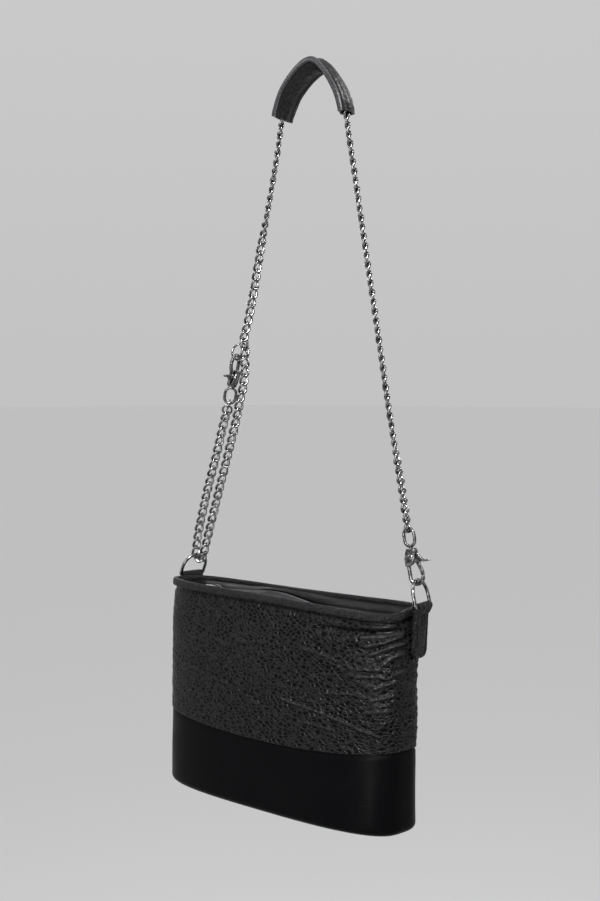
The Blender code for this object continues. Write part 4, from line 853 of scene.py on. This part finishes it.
chainForm = {  # each stretch runs through its points, in mm
    "length": 11.4, "width": 7.4, "wire": 1.3, "twist": 90.0, "pitch": 8.8, "bendSteps": 8, "sides": 8,
    "upper": (
        (108.56, -1.44, -420.68), (106.93, -1.19, -413.57), (99.28, 0, -380.17), (91.76, 0, -346.73),
        (84.71, 0, -313.18), (78.35, 0, -279.49), (71.87, 0, -245.83), (65.33, 0, -212.17),
        (58.75, 0, -178.53), (52.22, 0, -144.88), (45.76, 0, -111.21), (39.15, 0, -77.57),
        (35.96, 0, -60.73), (33.3, 0, -43.8), (31.29, 0, -35.18), (28.24, 0, -26.89), (24.05, 0, -19.1),
        (19.21, 0, -11.69), (13.59, 0, -4.86), (7.29, 0, 1.33), (-0.51, 0, 5.29), (-9.23, 0, 4.38),
        (-17.32, 0, 0.84), (-24.78, 0, -3.91), (-31.62, 0, -9.52), (-37.86, 0, -15.79), (-42.78, 0, -23.12),
        (-46.66, 0, -31.07), (-49.7, 0, -39.3), (-56.21, 0, -71.51), (-63.91, 0, -103.45),
        (-72.36, 0, -135.21), (-80.66, 0, -167.01), (-88.1, 0, -199.02), (-96.83, 0, -230.68),
        (-102.5, 0, -246.1), (-102.5, 0, -253.4)),
    "lower": (
        (-102.5, 0, -253.4), (-102.5, 0, -260.7), (-101.63, 0, -277.62), (-103.99, 0, -294.37),
        (-109.11, 0, -310.55), (-113.86, 0, -326.85), (-119.17, 0, -342.97), (-130.97, 0.45, -374.8),
        (-143.03, 1.13, -406.53), (-155.08, 1.95, -438.26), (-160.72, 1.89, -454.27),
        (-166.02, 1.41, -470.39), (-168.83, 1.41, -473.51), (-173.01, 1.41, -473.8),
        (-176.23, 1.41, -471.11), (-176.67, 1.41, -466.93), (-174.12, 1.99, -449.29),
        (-169.12, 1.82, -432.17), (-163.26, 1.39, -415.32), (-157.13, 0.91, -398.57), (-143.93, 0, -365.43),
        (-137.96, -0.27, -348.61), (-132.06, -0.42, -331.77), (-128.61, -1.29, -325.4)),
    # The links' compass angles: beside the pad, and at each side low down, over which drop, and in the pad
    "besideTurn": 134.0, "rightTurns": (108.0, (330.0, 375.0), 102.0),
    "leftTurns": (90.0, (125.0, 165.0), 92.0), "padRange": (-40.0, -16.0), "lowerTurn": 84.0,
    "upperSway": 5.0, "lowerSway": 6.0, "swayStep": 2.399, "reach": 4.5, "routeSteps": 24,
}


def smoothRoute(knots):
    knots = [np.array(k, float) for k in knots]
    knots = [2 * knots[0] - knots[1]] + knots + [2 * knots[-1] - knots[-2]]
    fine = []
    for a, b, c, d in zip(knots, knots[1:], knots[2:], knots[3:]):
        for t in np.linspace(0.0, 1.0, chainForm["routeSteps"], endpoint=False):
            bend, pull = 2 * a - 5 * b + 4 * c - d, 3 * b - a - 3 * c + d
            fine.append(0.5 * (2 * b + (c - a) * t + bend * t ** 2 + pull * t ** 3))
    fine = np.array(fine + [knots[-2]])
    return fine, np.concatenate(([0.0], np.cumsum(np.linalg.norm(np.diff(fine, axis=0), axis=1))))


def onRoute(route, distance):
    fine, length = route
    return np.array([np.interp(distance, length, axis) for axis in fine.T])


def curbLink(twist):
    form = chainForm
    radius, straight = form["width"] / 2, (form["length"] - form["width"]) / 2
    flat = arcPoints(straight, 0, radius, -90, 90, form["bendSteps"]) + [(0.0, radius)]
    flat += arcPoints(-straight, 0, radius, 90, 270, form["bendSteps"]) + [(0.0, -radius)]
    path, outwards = [], []
    for x, y in flat:
        turn = math.radians(twist) * x / form["length"]
        path.append((x, y * math.cos(turn), y * math.sin(turn)))
        outwards.append((0.0, -math.sin(turn), math.cos(turn)))
    return closedWire("link", path, form["sides"], outwards, form["wire"])


twistedLink, flatLink = curbLink(chainForm["twist"]), curbLink(0.0)


def linkAt(pattern, centre, along, turn):  # turn is the compass angle of the link's width
    along = Vector(along).normalized()
    width = Vector((math.cos(math.radians(turn)), math.sin(math.radians(turn)), 0.0))
    width = (width - along * width.dot(along)).normalized()
    link = copyPiece(pattern)
    layAlong(link, centre, along, width, along.cross(width))
    return link


def upperTurn(x, z):  # edge on to the front view beside the pad, flat inside it, and turned lower down
    lowTurn, lowRange, padTurn = chainForm["rightTurns" if x > 0.0 else "leftTurns"]
    hanging = blend(chainForm["besideTurn"], lowTurn, smoothStep(-z, *lowRange))
    return blend(hanging, padTurn, smoothStep(z, *chainForm["padRange"]))


def layChain(route, turnAt, sway):
    total = route[1][-1]
    count = round(total / chainForm["pitch"])
    links = []
    for i in range(count + 1):
        at = i * (total / count)
        centre = onRoute(route, at)
        ahead, behind = min(at + chainForm["reach"], total), max(at - chainForm["reach"], 0.0)
        loose = sway * math.sin(i * chainForm["swayStep"]) * (0 < i < count)
        along = onRoute(route, ahead) - onRoute(route, behind)
        links.append((centre, along, turnAt(centre[0], centre[2]) + loose))
    return links


upperLinks = layChain(smoothRoute(chainForm["upper"]), upperTurn, chainForm["upperSway"])
lowerLinks = layChain(smoothRoute(chainForm["lower"]), lambda x, z: chainForm["lowerTurn"],
                      chainForm["lowerSway"])
anchorPlace = (chainForm["lower"][0], (0, 0, 1), chainForm["lowerTurn"])
for name, node, pattern, links in (("chainUpper", "chain_upper", twistedLink, upperLinks[1:-1]),
                                   ("chainLower", "chain_lower", twistedLink, lowerLinks[1:-1]),
                                   ("endLinkRight", "end_link_right", twistedLink, upperLinks[:1]),
                                   ("endLinkLeft", "end_link_left", twistedLink, lowerLinks[-1:]),
                                   ("anchorLink", "anchor_link", flatLink, [anchorPlace])):
    chain = joinAll(name, [linkAt(pattern, *link) for link in links])
    dressNode(chain, nickelPlate, node, roundAngle)
bpy.data.objects.remove(twistedLink)
bpy.data.objects.remove(flatLink)
print("chain made:", len(upperLinks) + len(lowerLinks) - 1, "links")


# Tabs: two layers of leather folded over the rings' bars

tabForm = {
    "halfWidth": 12.0, "drop": 46.5, "corner": 7.0, "outerFace": (0.5, 0.9),
    "grooveIn": 2.6, "grooveWide": 0.7, "grooveDeep": 0.8, "grooveTop": (-2.0, 5.0), "swellFrom": (2.6, 5.0),
    "swell": 0.9, "swellSize": (7.0, 11.0, 1.0), "swellPlace": 0.3,
    "dimple": 0.4, "dimpleSize": (2.2, 2.2, 1.0), "dimplePlace": 4.0,
    "grain": 0.22, "grainSize": (1.7, 1.7, 1.7),  # and each tab's bar, and its ways across, outwards and up
    "left": (ringForm["ringLeft"][1],
             (0.1045, 0.9945, 0), (-0.9944, 0.1045, -0.0186), (-0.0185, 0.0019, 0.9998)),
    "right": (ringForm["ringRight"][1],
              (0.2164, -0.9763, 0), (0.9752, 0.2162, -0.0476), (0.0465, 0.0103, 0.9989)),
}


def tabRelief(piece, origin, *axes):  # a pressed groove inside the outer face's edge, and a soft uneven face
    form = tabForm
    flat = vertexArray(piece)
    normals = np.empty(flat.size, np.float32)
    piece.data.vertices.foreach_get("normal", normals)
    normals = normals.reshape(-1, 3)
    across, outwards, up = ((flat / mm - np.array(origin)) @ np.array(axes).T).T
    side = np.maximum(np.abs(across) - (form["halfWidth"] - form["corner"]), 0.0)
    below = np.maximum(-up - (form["drop"] - form["corner"]), 0.0)
    inside = form["corner"] - np.hypot(side, below)
    groove = form["grooveDeep"] * bell(inside - form["grooveIn"], form["grooveWide"])
    swell = noiseAt(form["swellSize"], across, up, form["swellPlace"])
    swell += form["dimple"] * noiseAt(form["dimpleSize"], across, up, form["dimplePlace"])
    move = form["swell"] * swell * smoothStep(inside, *form["swellFrom"])
    move -= groove * smoothStep(-up, *form["grooveTop"])
    move *= smoothStep(normals @ np.array(axes[1]), *form["outerFace"])
    move += form["grain"] * noiseAt(form["grainSize"], across, outwards, up)
    setVertices(piece, flat + normals * move[:, None] * mm)


for side in ("left", "right"):
    tab = castCopy("tab" + side.title(), "tab_" + side, *castForm["tab"])
    tabRelief(tab, *tabForm[side])
    dressNode(tab, bindingLeather, "tab_" + side, roundAngle)
print("tabs made")


# Shoulder pad: a flat sleeve over the chain, open at both ends

padForm = {  # across and rise are the outer section's half, from the middle of a face to an edge
    "ends": ((33.3, 0, -43.8), (-49.7, 0, -39.3)), "length": 150.0, "stations": 130, "around": 80,
    "halfWidth": 14.6, "halfThick": 5.2, "endNarrowing": 0.12, "turn": 13.0, "turnTo": (0.1, 0.6),
    "roll": -0.13, "rollFull": 0.45, "crownRoll": -0.12,
    "across": (0.0, 0.20, 0.42, 0.56, 0.68, 0.755, 0.82, 0.90, 0.955, 0.99, 1.0),
    "rise": (1.0, 0.98, 0.72, 0.60, 0.50, 0.36, 0.42, 0.50, 0.46, 0.32, 0.0),
    "channelWide": 5.6, "channelHigh": 3.9, "mouthWide": 8.6, "mouthReach": 0.05,
    "pucker": 1.5, "puckerSize": (8.0, 12.0, 1.0), "puckerLean": 0.7, "puckerWidth": 7.0, "puckerBelow": 0.45,
    "crease": 0.45, "creaseSize": (60.0, 3.2, 1.0), "middle": 0.35, "sharp": 4, "edgeStart": (0.05, 0.4),
    "edgeBand": 0.21, "fold": 70.0,
}


def padLine():
    route = smoothRoute(chainForm["upper"])
    fine, length = route
    first, last = [length[np.argmin(np.linalg.norm(fine - np.array(end), axis=1))] for end in padForm["ends"]]
    return np.array([onRoute(route, at) for at in np.linspace(first, last, padForm["stations"] + 1)])


padCentres = padLine()


def padPucker(share, across, face):  # mm outwards: folds over the middle, and fine creases along the sleeve
    form = padForm
    along = share * form["length"]
    leaning = along + form["puckerLean"] * across
    fold = ridgedAt(form["sharp"], form["puckerSize"], leaning, across, 2.0 * face, shift=(20 * face, 0, 0))
    crease = ridgedAt(form["sharp"], form["creaseSize"], along, across, 6.0 + face)
    strength = np.where(face > 0, form["pucker"], form["puckerBelow"]) * bell(across, form["puckerWidth"])
    return strength * (fold - form["middle"]) + form["crease"] * (crease - form["middle"])


def padPlace(around, down):
    form = padForm
    count = form["stations"]
    around = np.rint(around * form["around"]) / form["around"]
    index = np.rint(down * (2 * count + 2)).astype(int) % (2 * count + 2)
    outside = index <= count
    station = np.where(outside, index, 2 * count + 1 - index)
    share = station / count
    along = unit(padCentres[np.minimum(station + 1, count)] - padCentres[np.maximum(station - 1, 0)])
    turn = math.radians(form["turn"]) * (1 - smoothStep(share, *form["turnTo"]))
    roll = form["roll"] * smoothStep(share, 0.0, form["rollFull"])
    roll += form["crownRoll"] * np.sin(np.pi * share) ** 2
    width = unit(np.stack((-np.sin(turn), np.cos(turn), roll), axis=1))
    under = unit(np.cross(along, width))
    angle = 2 * np.pi * around
    side, face = (np.where(sign < 0, -1.0, 1.0) for sign in (np.cos(angle), np.sin(angle)))
    step = np.abs((around * 4) % 2 - 1)  # 0 at the middle of a face, 1 at an edge
    steps = np.linspace(0, 1, len(form["across"]))
    across, rise = side * np.interp(step, steps, form["across"]), np.interp(step, steps, form["rise"])
    pucker = padPucker(share, across * form["halfWidth"], face) * smoothStep(rise, *form["edgeStart"])
    narrowing = 1 - form["endNarrowing"] * np.abs(2 * share - 1) ** 3
    outer = width * (narrowing * across * form["halfWidth"])[:, None]
    outer += under * ((rise * form["halfThick"] + pucker) * face)[:, None]
    mouth = 1 - smoothStep(np.minimum(share, 1 - share), 0.0, form["mouthReach"])
    wide = blend(form["channelWide"], form["mouthWide"], mouth)
    inner = width * (wide * np.cos(angle))[:, None] + under * (form["channelHigh"] * np.sin(angle))[:, None]
    return (padCentres[station] + np.where(outside[:, None], outer, inner)).T


pad = gridPiece("shoulderPad", padForm["around"], 2 * padForm["stations"] + 2, padPlace, closed=True)
dressNode(pad, padLeather, "shoulder_pad", padForm["fold"])
pad.data.materials.append(edgeLeather)
for face in pad.data.polygons:  # the folded edges take the paler leather, a painted highlight
    around, down = np.mean([pad.data.uv_layers.active.data[loop].uv for loop in face.loop_indices], axis=0)
    if abs(2 * around - round(2 * around)) < padForm["edgeBand"] and down < 0.5:
        face.material_index = 1
print("pad:", len(pad.data.polygons), "faces")


# Studio: a plain pale floor, soft light, and the camera at the photograph's angle

studioForm = {
    "floorLevel": -1.9, "floorSize": 240.0, "floorPaint": "#ececec", "floorRoughness": 0.9,
    "horizon": "#dcdcdd", "zenith": "#e9e9ea", "zenithFrom": 0.5, "worldStrength": 0.76,
    "lens": 1400 / 901 * 36, "sensor": 36.0,
    "camera": (0.90262, -0.97154, -0.30098), "right": (0.7230, 0.6909, 0.0),
    "forward": (-0.6903, 0.7223, -0.0419),
    "aim": (-0.02, 0.0, -0.40), "spread": 1.57,
    "lights": {  # place, size in metres and watts
        "topLight": ((0.0, -0.60, 1.25), (0.7, 0.4), 2.2),
        "stripLight": ((0.42, -1.55, -0.3), (0.40, 1.3), 4.5),
        "keyLight": ((0.80, -0.95, 0.55), (0.3, 0.3), 11.0),
        "padLight": ((0.56, 1.14, 0.93), (0.4, 0.4), 3.0),
        "leftLight": ((-1.3, -1.1, 0.7), (0.35, 0.35), 1.6),
        "backLight": ((-1.3, 0.97, 0.0), (0.2, 0.2), 0.35)},
}

deselectAll()
bpy.ops.mesh.primitive_plane_add(size=studioForm["floorSize"], location=(0, 0, studioForm["floorLevel"]))
floor = bpy.context.object
floor.name = "studioFloor"
floor.data.materials.append(newMaterial("matt studio floor, painted", Roughness=studioForm["floorRoughness"],
                                        Base_Color=linearColour(studioForm["floorPaint"]))[0])

world = bpy.data.worlds.new("studio")
bpy.context.scene.world = world
world.use_nodes = True
sky = world.node_tree
heading = addNode(sky, "TexCoord")
height = addNode(sky, "SeparateXYZ", links={"Vector": heading.outputs["Generated"]})
addNode(sky, "ValToRGB", links={"Fac": height.outputs["Z"]}, feeds=sky.nodes["Background"].inputs["Color"],
        stops=((0.0, linearColour(studioForm["horizon"])),
               (studioForm["zenithFrom"], linearColour(studioForm["zenith"]))))
sky.nodes["Background"].inputs["Strength"].default_value = studioForm["worldStrength"]
bpy.context.scene.view_settings.view_transform = "Standard"  # keeps black leather black

for name, (place, size, energy) in studioForm["lights"].items():
    bpy.ops.object.light_add(type="AREA", location=place)
    light = bpy.context.object
    light.name = name
    light.data.shape = "RECTANGLE"
    light.data.size, light.data.size_y = size
    light.data.energy = energy
    light.data.spread = studioForm["spread"]
    light.rotation_mode = "QUATERNION"
    light.rotation_quaternion = (Vector(place) - Vector(studioForm["aim"])).to_track_quat("Z", "Y")

bpy.ops.object.camera_add(location=studioForm["camera"])
camera = bpy.context.object
right, forward = Vector(studioForm["right"]).normalized(), Vector(studioForm["forward"]).normalized()
camera.rotation_mode = "QUATERNION"
camera.rotation_quaternion = Matrix((right, right.cross(forward), -forward)).transposed().to_quaternion()
camera.data.sensor_fit = "VERTICAL"
camera.data.sensor_height = camera.data.sensor_width = studioForm["sensor"]
camera.data.lens = studioForm["lens"]
bpy.context.scene.camera = camera
